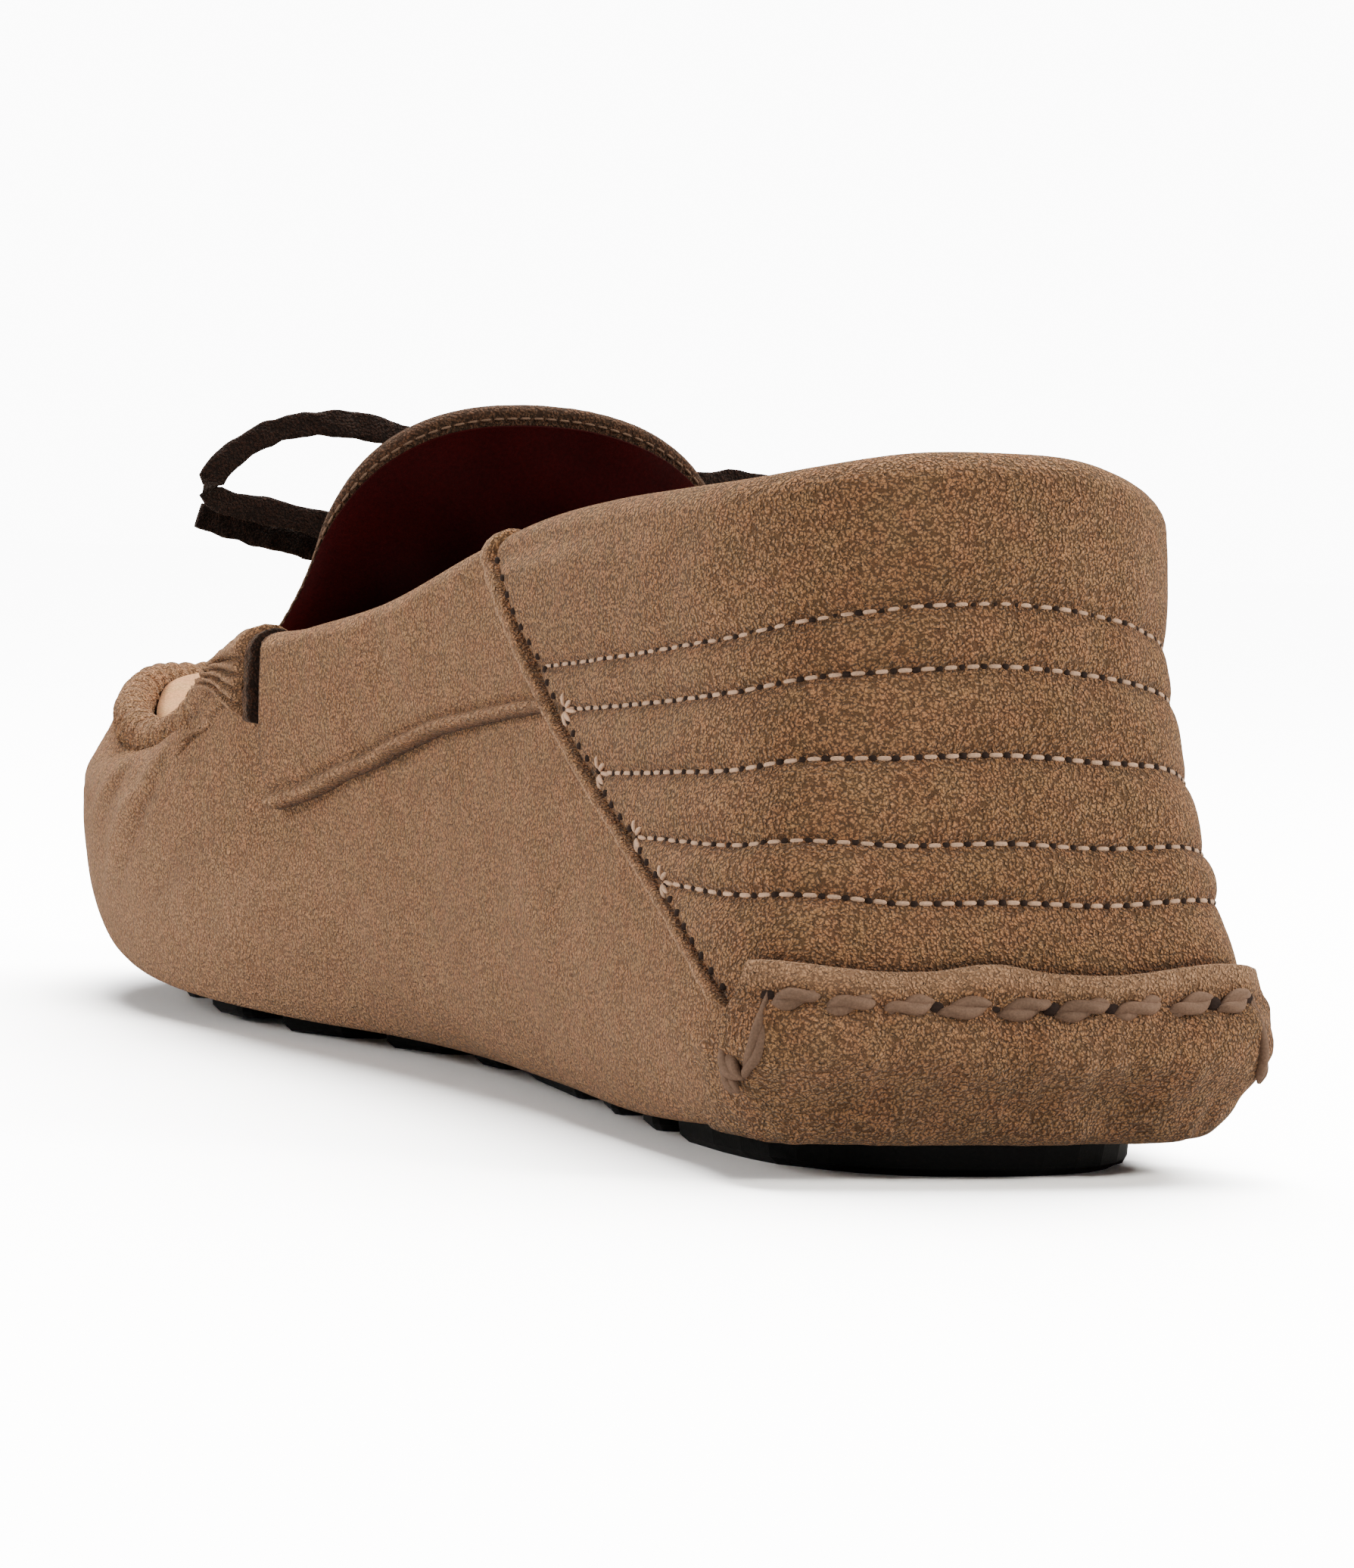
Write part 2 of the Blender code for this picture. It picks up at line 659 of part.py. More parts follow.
def make_lace(material):
    """Bow in front of the tongue: bar, knot, two loops and two ends."""
    make_lace_bar(material)
    lift_off = tongue_thickness / 2 + clearance + lace_thickness + clearance + knot_tube / 2
    knot = tongue_face(0, 0.5, lift_off)
    return [
        make_cord("lace_knot", knot_route, knot, knot_tube, material),
        make_cord("lace_loop_medial", loop_medial_route, knot, lace_tube, material),
        make_cord("lace_loop_lateral", loop_lateral_route, knot, lace_tube, material),
        make_cord("lace_end_medial", end_medial_route, knot, lace_tube, material),
        make_cord("lace_end_lateral", end_lateral_route, knot, lace_tube, material),
    ]


def centre_on_origin(solids):
    """Move the shoe so that its bounding box stands on the origin."""
    corners = [v.co for thing in solids for v in thing.data.vertices]
    low = Vector(min(c[i] for c in corners) for i in range(3))
    high = Vector(max(c[i] for c in corners) for i in range(3))
    shoe.location = (-(low.x + high.x) / 2, -(low.y + high.y) / 2, -low.z)


clear_scene()
shoe = bpy.data.objects.new("shoe", None)
bpy.context.scene.collection.objects.link(shoe)

suede = make_material("suede", (0.36, 0.22, 0.125), 0.95)
pale_suede = make_material("pale suede", (0.46, 0.29, 0.17), 0.95)
dark_suede = make_material("dark suede", (0.035, 0.018, 0.011), 0.9)
lining = make_material("lining leather", (0.075, 0.018, 0.012), 0.6)
rubber = make_material("rubber", (0.012, 0.012, 0.012), 0.55)

solids = [
    make_upper(suede),
    make_counter(suede),
    make_collar_panel("collar_panel_medial", -1, suede),
    make_collar_panel("collar_panel_lateral", 1, suede),
    make_heel_flap(suede),
    make_apron(pale_suede),
    make_tongue(dark_suede),
    make_insole(lining),
]
solids += make_tread(rubber)
make_lace(dark_suede)
centre_on_origin(solids)
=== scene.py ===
# Looks of the driving moccasin, right shoe, in metres, with the toe along +Y and the lateral side
# along +X. The shell follows the same tables as the CAD part. The edges of the collar panels and
# the stitch rows are set after the photograph.
import math
from collections import namedtuple

import bmesh
import bpy
import numpy as np
from mathutils import Matrix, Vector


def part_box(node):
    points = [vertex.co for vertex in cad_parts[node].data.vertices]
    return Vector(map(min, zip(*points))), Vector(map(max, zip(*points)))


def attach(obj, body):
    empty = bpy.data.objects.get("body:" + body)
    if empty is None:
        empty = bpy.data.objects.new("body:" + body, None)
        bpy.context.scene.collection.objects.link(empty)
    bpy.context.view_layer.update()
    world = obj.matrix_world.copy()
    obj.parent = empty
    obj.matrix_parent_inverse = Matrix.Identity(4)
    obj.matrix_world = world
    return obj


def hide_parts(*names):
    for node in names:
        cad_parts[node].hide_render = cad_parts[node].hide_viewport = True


mm = 0.001
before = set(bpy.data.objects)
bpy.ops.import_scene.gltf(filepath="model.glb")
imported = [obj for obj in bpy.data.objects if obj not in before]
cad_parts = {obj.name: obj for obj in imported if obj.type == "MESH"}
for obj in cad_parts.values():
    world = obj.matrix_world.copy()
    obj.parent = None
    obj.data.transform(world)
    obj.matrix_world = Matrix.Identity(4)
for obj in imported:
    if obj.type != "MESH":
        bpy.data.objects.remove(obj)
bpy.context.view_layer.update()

# Driving sizes, the same as the CAD part's
shoe = {
    "length": 274 * mm, "ballWidth": 95 * mm, "heelHeight": 79 * mm, "stand": 4.6 * mm,
    "toeSpring": 8 * mm, "springStart": 0.58, "wall": 2.2 * mm, "gap": 0.3 * mm,
    "counter": 1.2 * mm, "panel": 1.1 * mm, "flap": 1.8 * mm, "apron": 1.8 * mm,
    "throatTurn": 10.75, "seamStart": 9.9, "seamFull": 10.5, "insoleMargin": 0.6 * mm,
}

# Rows from the heel centre (0) to the toe centre (16), as shares of the length, half the ball
# width and the heel height
Foot = namedtuple("Foot", "along inner outer")
Belly = namedtuple("Belly", "along inner outer height")
Collar = namedtuple("Collar", "along inner outer heightInner heightOuter")
Flank = namedtuple("Flank", "lean rise roll drop")
footRows = [
    Foot(0.040, 0.000, 0.000), Foot(0.042, 0.230, 0.230), Foot(0.053, 0.420, 0.440),
    Foot(0.082, 0.535, 0.575), Foot(0.125, 0.568, 0.632), Foot(0.190, 0.568, 0.663),
    Foot(0.292, 0.516, 0.663), Foot(0.409, 0.495, 0.663), Foot(0.504, 0.558, 0.726),
    Foot(0.591, 0.705, 0.853), Foot(0.675, 0.832, 0.916), Foot(0.748, 0.863, 0.895),
    Foot(0.818, 0.800, 0.800), Foot(0.880, 0.653, 0.663), Foot(0.927, 0.463, 0.484),
    Foot(0.960, 0.242, 0.263), Foot(0.971, 0.000, 0.000),
]
bellyRows = [
    Belly(0.018, 0.000, 0.000, 0.130), Belly(0.019, 0.295, 0.310, 0.130),
    Belly(0.027, 0.537, 0.568, 0.130), Belly(0.047, 0.632, 0.684, 0.140),
    Belly(0.099, 0.670, 0.747, 0.165), Belly(0.175, 0.684, 0.779, 0.190),
    Belly(0.292, 0.684, 0.800, 0.215), Belly(0.409, 0.684, 0.821, 0.240),
    Belly(0.511, 0.726, 0.853, 0.255), Belly(0.602, 0.832, 0.958, 0.260),
    Belly(0.686, 0.937, 1.021, 0.265), Belly(0.759, 0.968, 1.011, 0.280),
    Belly(0.832, 0.942, 0.945, 0.270), Belly(0.898, 0.805, 0.820, 0.280),
    Belly(0.951, 0.600, 0.615, 0.300), Belly(0.991, 0.305, 0.330, 0.320),
    Belly(1.007, 0.000, 0.000, 0.325),
]
collarRows = [
    Collar(0.053, 0.000, 0.000, 1.000, 1.000), Collar(0.058, 0.215, 0.215, 0.995, 0.995),
    Collar(0.075, 0.400, 0.400, 0.975, 0.970), Collar(0.106, 0.526, 0.537, 0.950, 0.935),
    Collar(0.153, 0.589, 0.600, 0.930, 0.905), Collar(0.219, 0.632, 0.653, 0.905, 0.880),
    Collar(0.292, 0.653, 0.684, 0.870, 0.850), Collar(0.365, 0.684, 0.705, 0.807, 0.800),
    Collar(0.456, 0.747, 0.758, 0.712, 0.715), Collar(0.540, 0.815, 0.825, 0.652, 0.655),
    Collar(0.613, 0.848, 0.858, 0.612, 0.617), Collar(0.686, 0.863, 0.863, 0.455, 0.475),
    Collar(0.759, 0.855, 0.855, 0.393, 0.425), Collar(0.832, 0.815, 0.820, 0.425, 0.445),
    Collar(0.896, 0.675, 0.685, 0.490, 0.490), Collar(0.940, 0.415, 0.435, 0.499, 0.498),
    Collar(0.957, 0.000, 0.000, 0.498, 0.498),
]
flankRows = (
    [Flank(0.35, 0.20, 0.00, 0.45)] * 2 + [Flank(0.20, 0.25, 0.00, 0.45)] * 2
    + [Flank(0.10, 0.25, 0.00, 0.45), Flank(0.30, 0.25, 0.00, 0.45)]
    + [Flank(0.20, 0.30, 0.00, 0.45), Flank(0.10, 0.30, 0.00, 0.40)]
    + [Flank(0.00, 0.30, 0.00, 0.40), Flank(0.00, 0.30, 0.00, 0.35)]
    + [Flank(0.00, 0.40, 0.20, 0.30), Flank(0.00, 0.50, 0.40, 0.15)]
    + [Flank(0.00, 0.50, 0.50, 0.05)] * 5
)
lastRow = len(footRows) - 1
turn = 2 * lastRow


def lift(y):
    start = shoe["springStart"] * shoe["length"]
    share = np.clip((y - start) / (shoe["length"] - start), 0, None)
    return shoe["toeSpring"] * share ** 1.6


def closedRing(rows, heightInner, heightOuter):
    half = shoe["ballWidth"] / 2
    inner = [(-r.inner * half, r.along * shoe["length"], heightInner(r)) for r in rows]
    outer = [(r.outer * half, r.along * shoe["length"], heightOuter(r)) for r in rows]
    return np.array(inner + outer[-2:0:-1])


def footHeight(row):
    return shoe["stand"] + lift(row.along * shoe["length"])


def bellyHeight(row):
    return shoe["stand"] + row.height * shoe["heelHeight"] + 0.6 * lift(row.along * shoe["length"])


footRing = closedRing(footRows, footHeight, footHeight)
bellyRing = closedRing(bellyRows, bellyHeight, bellyHeight)
collarRing = closedRing(
    collarRows,
    lambda r: shoe["stand"] + r.heightInner * shoe["heelHeight"],
    lambda r: shoe["stand"] + r.heightOuter * shoe["heelHeight"],
)
flankRing = np.array(flankRows + flankRows[-2:0:-1])


# Values as arrays of one common shape
def together(*values):
    return np.broadcast_arrays(*(np.asarray(value, float) for value in values))


# Curve from b to c, with a and d as its neighbours
def curveThrough(a, b, c, d, f):
    return 0.5 * (2 * b + (c - a) * f + (2 * a - 5 * b + 4 * c - d) * f * f
                  + (3 * b - a - 3 * c + d) * f ** 3)


def ringAt(ring, u):
    u = np.asarray(u, float) % turn
    i = np.floor(u).astype(int)
    f = (u - i)[..., None]
    return curveThrough(*(ring[(i + k) % turn] for k in (-1, 0, 1, 2)), f)


def skin(u, t):
    u, t = together(u, t)
    foot, belly, top, flank = (ringAt(r, u) for r in (footRing, bellyRing, collarRing, flankRing))
    angle = np.clip(t + 1, 0, 1) * np.pi / 2
    low = foot + (belly - foot) * np.sin(angle)[..., None]
    low[..., 2] = foot[..., 2] + (belly[..., 2] - foot[..., 2]) * (1 - np.cos(angle))
    inward = (top - belly) * (1, 1, 0)
    rise = (top - belly) * (0, 0, 1)
    b = belly + flank[..., 0:1] * inward + flank[..., 1:2] * rise
    c = top - flank[..., 2:3] * inward - flank[..., 3:4] * rise
    s = np.clip(t, 0, None)[..., None]
    r = 1 - s
    high = r ** 3 * belly + 3 * r * r * s * b + 3 * r * s * s * c + s ** 3 * top
    return np.where(t[..., None] <= 0, low, high)


def unit(vectors):
    return vectors / np.maximum(np.linalg.norm(vectors, axis=-1, keepdims=True), 1e-12)


def outward(u, t):
    u, t = together(u, t)
    step = 0.02
    side = skin(u + step, t) - skin(u - step, t)
    up = skin(u, np.minimum(t + step, 1)) - skin(u, np.maximum(t - step, -1))
    return unit(np.cross(up, side))


def layer(u, t, distance):
    return skin(u, t) + np.asarray(distance, float)[..., None] * outward(u, t)


def planInward(ring, u):
    along = ringAt(ring, np.asarray(u) + 0.05) - ringAt(ring, np.asarray(u) - 0.05)
    return unit(np.stack([along[..., 1], -along[..., 0], 0 * along[..., 0]], axis=-1))


def smoothStep(low, high, value):
    share = np.clip((value - low) / (high - low), 0, 1)
    return share * share * (3 - 2 * share)


def sideRow(u):
    u = np.asarray(u, float) % turn
    return np.minimum(u, turn - u)


def foreShare(u):
    return smoothStep(shoe["seamStart"], shoe["seamFull"], sideRow(u))


def sideHeight(u):
    return np.linalg.norm(skin(u, 1.0) - skin(u, 0.6), axis=-1) / 0.4


# Metres of surface for each unit of level
def riseScale(u, t):
    return np.linalg.norm(skin(u, np.minimum(t + 0.01, 1)) - skin(u, t - 0.01), axis=-1) / 0.02


def counterEdge(t):
    return 2.7 + 6.0 * t - 2.0 * t * t


def panelFront(t):
    return 8.36 + 1.95 * t - 0.72 * t * t


# Level of the collar panel's lower edge, from the counter (0) to the throat (1)
def panelLow(share):
    return np.interp(share, (0, 0.20, 0.35, 0.48, 0.61, 0.79, 0.90, 1),
                     (0.605, 0.568, 0.535, 0.508, 0.462, 0.368, 0.285, 0.215))


# Where the CAD part stands in the row frame, from its insole
insoleEdge = ringAt(footRing, np.arange(64) * turn / 64)
insoleEdge = insoleEdge + planInward(footRing, np.arange(64) * turn / 64) * shoe["insoleMargin"]
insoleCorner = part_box("insole")[0]
frameShift = np.array([insoleCorner[0] - insoleEdge[:, 0].min(), insoleCorner[1] - insoleEdge[:, 1].min(), 0])


# Line between the two sides of the foot edge
def footMiddle(u):
    return (ringAt(footRing, u) + ringAt(footRing, turn - u)) / 2


# Bump of unit height round a middle
def bell(value, middle, width, power=2):
    return np.exp(-np.abs((value - middle) / width) ** power)


# Smooth seeded noise of about unit height, with bumps of that size
def softNoise(points, size, seed, waves=26):
    rng = np.random.default_rng(seed)
    total = np.zeros(points.shape[:-1])
    for _ in range(waves):
        way = rng.normal(size=3)
        way *= 2 * np.pi / size * rng.uniform(0.5, 1.3) / np.linalg.norm(way)
        total += np.sin(points @ way + rng.uniform(0, 2 * np.pi))
    return total / math.sqrt(waves / 2)


# Object from points and quads. Marks are named values for each point that the material reads.
def meshObject(name, points, quads, material, marks=None):
    mesh = bpy.data.meshes.new(name)
    mesh.vertices.add(len(points))
    mesh.vertices.foreach_set("co", (points + frameShift).astype(np.float32).ravel())
    mesh.loops.add(4 * len(quads))
    mesh.loops.foreach_set("vertex_index", quads.astype(np.int32).ravel())
    mesh.polygons.add(len(quads))
    mesh.polygons.foreach_set("loop_start", np.arange(0, 4 * len(quads), 4, dtype=np.int32))
    mesh.update(calc_edges=True)
    for key, values in (marks or {}).items():
        mark = mesh.attributes.new(key, "FLOAT", "POINT")
        mark.data.foreach_set("value", np.broadcast_to(values, len(points)).astype(np.float32))
    work = bmesh.new()
    work.from_mesh(mesh)
    bmesh.ops.remove_doubles(work, verts=work.verts, dist=1e-6)
    bmesh.ops.recalc_face_normals(work, faces=work.faces)
    work.to_mesh(mesh)
    work.free()
    mesh.shade_smooth()
    mesh.materials.append(material)
    thing = bpy.data.objects.new(name, mesh)
    bpy.context.scene.collection.objects.link(thing)
    return thing


def gridQuads(rows, columns, closedColumns=False, start=0):
    r = np.arange(rows - 1)
    c = np.arange(columns if closedColumns else columns - 1)
    r, c = (x.ravel() for x in np.meshgrid(r, c, indexing="ij"))
    here, above = r * columns, (r + 1) * columns
    after = (c + 1) % columns
    return start + np.stack([here + c, here + after, above + after, above + c], 1)


# Closed solid between two grids of points. Marks are grids for the front face.
def sheetObject(name, front, back, material, marks=None):
    rows, columns = front.shape[:2]
    count = rows * columns
    points = np.concatenate([front.reshape(-1, 3), back.reshape(-1, 3)])
    grid = np.arange(count).reshape(rows, columns)
    border = np.concatenate([grid[0], grid[1:, -1], grid[-1, -2::-1], grid[-2:0:-1, 0]])
    after = np.roll(border, -1)
    quads = np.concatenate([
        gridQuads(rows, columns), gridQuads(rows, columns, start=count),
        np.stack([border, after, after + count, border + count], 1),
    ])
    both = {
        key: np.concatenate([np.broadcast_to(values, (rows, columns)).ravel()] * 2)
        for key, values in (marks or {}).items()
    }
    return meshObject(name, points, quads, material, both)


# Rings of points with a middle point before the first and after the last
def closedEnds(rings):
    first, last = (np.broadcast_to(rings[i].mean(0), (1, *rings.shape[1:])) for i in (0, -1))
    return np.concatenate([first, rings, last])


# Object from a row of closed rings of points
def tubeObject(name, rings, material, marks=None):
    quads = gridQuads(*rings.shape[:2], closedColumns=True)
    return meshObject(name, rings.reshape(-1, 3), quads, material, marks)


# Shares from 0 to 1 with some more of them close to both ends
def edgeShares(count, edge=0.02, edgeCount=4):
    near = edge * (1 - np.cos(np.linspace(0, np.pi / 2, edgeCount, endpoint=False)))
    middle = np.linspace(edge, 1 - edge, count - 2 * edgeCount)
    return np.concatenate([near, middle, 1 - near[::-1]])


# 0 at an edge, 1 beyond the radius, along a quarter circle
def roundEdge(distance, radius):
    share = np.clip(distance / radius, 0, 1)
    return np.sqrt(np.clip(1 - (1 - share) ** 2, 0, 1))


# Distance of each point from the nearest of some lines, and how far along its line it is
def toLines(points, lines):
    flat = points.reshape(-1, 3)
    best = np.full(len(flat), 1e9)
    share = np.zeros(len(flat))
    for line in lines:
        a, b = line[:-1], line[1:]
        for i in range(len(a)):
            d = b[i] - a[i]
            f = np.clip((flat - a[i]) @ d / max(d @ d, 1e-15), 0, 1)
            gone = np.linalg.norm(flat - a[i] - f[:, None] * d, axis=1)
            nearer = gone < best
            best[nearer] = gone[nearer]
            share[nearer] = (i + f[nearer]) / len(a)
    return best.reshape(points.shape[:-1]), share.reshape(points.shape[:-1])


# Length gone at each point of a line
def lineLengths(line):
    return np.concatenate([[0], np.cumsum(np.linalg.norm(np.diff(line, axis=0), axis=1))])


# Smooth line through the points, resampled at even steps
def smoothPath(points, step):
    points = np.asarray(points, float)
    padded = np.concatenate([2 * points[:1] - points[1:2], points, 2 * points[-1:] - points[-2:-1]])
    fine = []
    for i in range(1, len(padded) - 2):
        f = np.linspace(0, 1, 16, endpoint=False)[:, None]
        fine.append(curveThrough(*padded[i - 1:i + 3], f))
    fine = np.concatenate(fine + [padded[-2:-1]])
    gone = lineLengths(fine[:, :3])
    at = np.linspace(0, gone[-1], max(2, int(round(gone[-1] / step)) + 1))
    return np.stack([np.interp(at, gone, fine[:, k]) for k in range(fine.shape[1])], 1)


# Materials
def nodesOf(name):
    material = bpy.data.materials.new(name)
    material.use_nodes = True
    return material, material.node_tree, material.node_tree.nodes["Principled BSDF"]


def linked(tree, kind, inputs=None, **settings):
    node = tree.nodes.new(kind)
    for key, value in settings.items():
        setattr(node, key, value)
    for key, value in (inputs or {}).items():
        if isinstance(value, bpy.types.NodeSocket):
            tree.links.new(value, node.inputs[key])
        else:
            node.inputs[key].default_value = value
    return node


def noiseOf(tree, size, detail, roughness):
    where = linked(tree, "ShaderNodeTexCoord").outputs["Object"]
    inputs = {"Vector": where, "Scale": 1 / size, "Detail": detail, "Roughness": roughness}
    return linked(tree, "ShaderNodeTexNoise", inputs).outputs["Fac"]


# Grey value that is 0 in the middle of each small grain and near 1 between grains
def grainsOf(tree, size, wander):
    where = linked(tree, "ShaderNodeTexCoord").outputs["Object"]
    bend = linked(tree, "ShaderNodeTexNoise", {"Vector": where, "Scale": 0.6 / size, "Detail": 1.0})
    push = linked(tree, "ShaderNodeVectorMath", {0: bend.outputs["Color"], 1: (wander * size,) * 3},
                  operation="MULTIPLY")
    place = linked(tree, "ShaderNodeVectorMath", {0: where, 1: push.outputs[0]}, operation="ADD")
    inputs = {"Vector": place.outputs[0], "Scale": 1 / size}
    cells = linked(tree, "ShaderNodeTexVoronoi", inputs, feature="F1")
    return cells.outputs["Distance"]


def rampOf(tree, value, stops):
    ramp = linked(tree, "ShaderNodeValToRGB", {"Fac": value})
    marks = ramp.color_ramp.elements
    marks[0].position, marks[0].color = stops[0][0], (*stops[0][1], 1)
    marks[1].position, marks[1].color = stops[1][0], (*stops[1][1], 1)
    for place, colour in stops[2:]:
        marks.new(place).color = (*colour, 1)
    return ramp.outputs["Color"]


def mixed(tree, kind, factor, first, second):
    inputs = {0: factor, 6: first, 7: second}
    return linked(tree, "ShaderNodeMix", inputs, data_type="RGBA", blend_type=kind).outputs[2]


def grey(value):
    return (value, value, value)


# Suede, as sizes of its clumps and patches, tints and depths, with the colour of its painted shade and the
# paler colour of its painted highlight
suedeLook = {
    "grain": 0.38 * mm, "wander": 1.6, "clump": 0.75 * mm, "patch": 9 * mm, "tint": 3.4 * mm,
    "shaded": (0.30, 0.22, 0.17), "paleAndPaintedHighlight": (1.50, 1.68, 2.0), "roughness": 0.95, "shine": 0.15,
    "sheenRoughness": 0.55, "sheenTint": (1.0, 0.86, 0.72, 1),
    "grainDepth": 0.40 * mm, "clumpDepth": 0.30 * mm,
}


# Suede: short dark and light clumps of nap over larger warm and cool patches. The shade mark darkens it as
# painted shade; the second mark makes it paler, as painted highlight on crests, ridges and the flap's top,
# and as plainly paler tone elsewhere.
def makeSuede(name, colour, speck=0.58, nap=1.0, sheen=0.16):
    material, tree, shader = nodesOf(name)
    grains = grainsOf(tree, suedeLook["grain"], suedeLook["wander"])
    fine = rampOf(tree, grains, [(0.10, grey(1.0)), (0.75, grey(0.0))])
    clump = noiseOf(tree, suedeLook["clump"], 2.0, 0.6)
    patch = noiseOf(tree, suedeLook["patch"], 3.0, 0.6)
    tint = noiseOf(tree, suedeLook["tint"], 2.0, 0.6)
    low, high = 1 - speck, 1 + 1.1 * speck
    base = (*colour, 1)
    dark = rampOf(tree, grains, [(0.20, grey(high)), (0.64, grey(low)), (0.44, grey(1.0))])
    broad = rampOf(tree, clump, [(0.35, grey(1 - 0.22 * speck)), (0.65, grey(1 + 0.20 * speck))])
    patches = rampOf(tree, patch, [(0.3, (0.93, 0.91, 0.87)), (0.7, (1.07, 1.08, 1.1))])
    tints = rampOf(tree, tint, [(0.35, (1.05, 0.97, 0.95)), (0.65, (0.97, 1.02, 0.98))])
    result = mixed(tree, "MULTIPLY", 1.0, base, dark)
    for layerColour in (broad, patches, tints):
        result = mixed(tree, "MULTIPLY", 1.0, result, layerColour)
    shade = linked(tree, "ShaderNodeAttribute", attribute_name="shade").outputs["Fac"]
    shaded = rampOf(tree, shade, [(0.0, (1, 1, 1)), (1.0, suedeLook["shaded"])])
    result = mixed(tree, "MULTIPLY", 1.0, result, shaded)
    # Painted highlight, and plainly paler tone, where the second mark is set: the colour is mixed towards a
    # paler one
    paleAndPaintedHighlight = linked(tree, "ShaderNodeAttribute", attribute_name="paleAndPaintedHighlight").outputs["Fac"]
    light = mixed(tree, "MIX", 0.4, dark, broad)
    paler = [min(1, part * more) for part, more in zip(colour, suedeLook["paleAndPaintedHighlight"])]
    pale = mixed(tree, "MULTIPLY", 1.0, (*paler, 1), light)
    result = mixed(tree, "MIX", paleAndPaintedHighlight, result, pale)
    tree.links.new(result, shader.inputs["Base Color"])
    shader.inputs["Roughness"].default_value = suedeLook["roughness"]
    shader.inputs["Specular IOR Level"].default_value = suedeLook["shine"]
    shader.inputs["Sheen Weight"].default_value = sheen
    shader.inputs["Sheen Roughness"].default_value = suedeLook["sheenRoughness"]
    shader.inputs["Sheen Tint"].default_value = suedeLook["sheenTint"]
    bumpFine = linked(tree, "ShaderNodeBump", {
        "Height": fine, "Strength": nap, "Distance": suedeLook["grainDepth"]})
    bump = linked(tree, "ShaderNodeBump", {
        "Height": clump, "Strength": nap * 0.8, "Distance": suedeLook["clumpDepth"],
        "Normal": bumpFine.outputs[0]})
    tree.links.new(bump.outputs[0], shader.inputs["Normal"])
    return material


# Smooth or rough leather with a fine grain, which the shade mark darkens towards black as painted shade
def makeLeather(name, colour, roughness, grain, shine=0.25):
    material, tree, shader = nodesOf(name)
    fine = noiseOf(tree, grain, 4.0, 0.6)
    broad = noiseOf(tree, 7 * mm, 2.0, 0.5)
    tone = rampOf(tree, fine, [(0.3, grey(0.75)), (0.7, grey(1.25))])
    wide = rampOf(tree, broad, [(0.3, grey(0.85)), (0.7, grey(1.15))])
    result = mixed(tree, "MULTIPLY", 1.0, mixed(tree, "MULTIPLY", 1.0, (*colour, 1), tone), wide)
    shade = linked(tree, "ShaderNodeAttribute", attribute_name="shade").outputs["Fac"]
    result = mixed(tree, "MIX", shade, result, (0.0012, 0.0008, 0.0008, 1))
    tree.links.new(result, shader.inputs["Base Color"])
    shader.inputs["Roughness"].default_value = roughness
    shader.inputs["Specular IOR Level"].default_value = shine
    bump = linked(tree, "ShaderNodeBump", {"Height": fine, "Strength": 0.35, "Distance": 0.12 * mm})
    tree.links.new(bump.outputs[0], shader.inputs["Normal"])
    return material


# The counter colour is a slightly darker copy of the suede's, painted shade for the heel; the brown one is a
# dark copy, painted shade for the tongue and throat strips; the hole one is painted shade in stitch holes
colours = {
    "suede": (0.300, 0.150, 0.070), "pale": (0.60, 0.32, 0.150), "counter": (0.275, 0.137, 0.062),
    "shadedBrown": (0.062, 0.029, 0.015), "lace": (0.016, 0.006, 0.0035), "lining": (0.030, 0.0006, 0.0008),
    "thread": (0.50, 0.32, 0.21), "handThread": (0.150, 0.088, 0.055), "rubber": (0.0015, 0.0015, 0.0015),
    "holeShade": (0.018, 0.009, 0.006),
}
suede = makeSuede("suede", colours["suede"])
# Slightly darker copy of the suede: painted shade for the heel counter and heel flap
shadedCounterSuede = makeSuede("counter suede", colours["counter"], speck=0.66)
paleSuede = makeSuede("pale suede", colours["pale"], speck=0.18, nap=0.25)
# Dark copy of the suede: painted shade for the tongue and the throat strips, which stand in shade
shadedBrownSuede = makeSuede("brown suede", colours["shadedBrown"], speck=0.6, nap=0.6, sheen=0.1)
laceLeather = makeSuede("lace leather", colours["lace"], speck=0.6, nap=0.8, sheen=0.05)
liningLeather = makeLeather("lining leather", colours["lining"], 0.6, 0.5 * mm, shine=0.08)
rubber = makeLeather("rubber", colours["rubber"], 0.6, 0.25 * mm, shine=0.12)
thread = makeLeather("thread", colours["thread"], 0.8, 0.2 * mm)
handThread = makeLeather("hand thread", colours["handThread"], 0.75, 0.25 * mm)
# Near black: painted shade inside the stitch holes
paintedHoleShade = makeLeather("holeShade", colours["holeShade"], 0.95, 0.3 * mm)
print("materials made")

# Camera
camera = {
    "place": (-0.3029, -0.7793, 0.0839), "azimuth": 21.886, "elevation": -3.202, "roll": -2.408,
    "lens": 143.71,
}


# Stands a thing in a place, with its own x, y and z along three ways
def standThing(thing, right, up, back, place):
    matrix = np.eye(4)
    matrix[:3] = np.stack([right, up, back, place], 1)
    thing.matrix_world = Matrix(matrix.tolist())


def makeCamera():
    data = bpy.data.cameras.new("camera")
    data.lens = camera["lens"]
    data.sensor_width = 36
    thing = bpy.data.objects.new("camera", data)
    bpy.context.scene.collection.objects.link(thing)
    azimuth, elevation, roll = (math.radians(camera[k]) for k in ("azimuth", "elevation", "roll"))
    level = math.cos(elevation)
    ahead = np.array([math.sin(azimuth) * level, math.cos(azimuth) * level, math.sin(elevation)])
    right = unit(np.cross(ahead, (0, 0, 1)))
    up = np.cross(right, ahead)
    top = up * math.cos(roll) + right * math.sin(roll)
    side = np.cross(ahead, top)
    standThing(thing, side, top, -ahead, camera["place"])
    bpy.context.scene.camera = thing


makeCamera()
print("camera made")

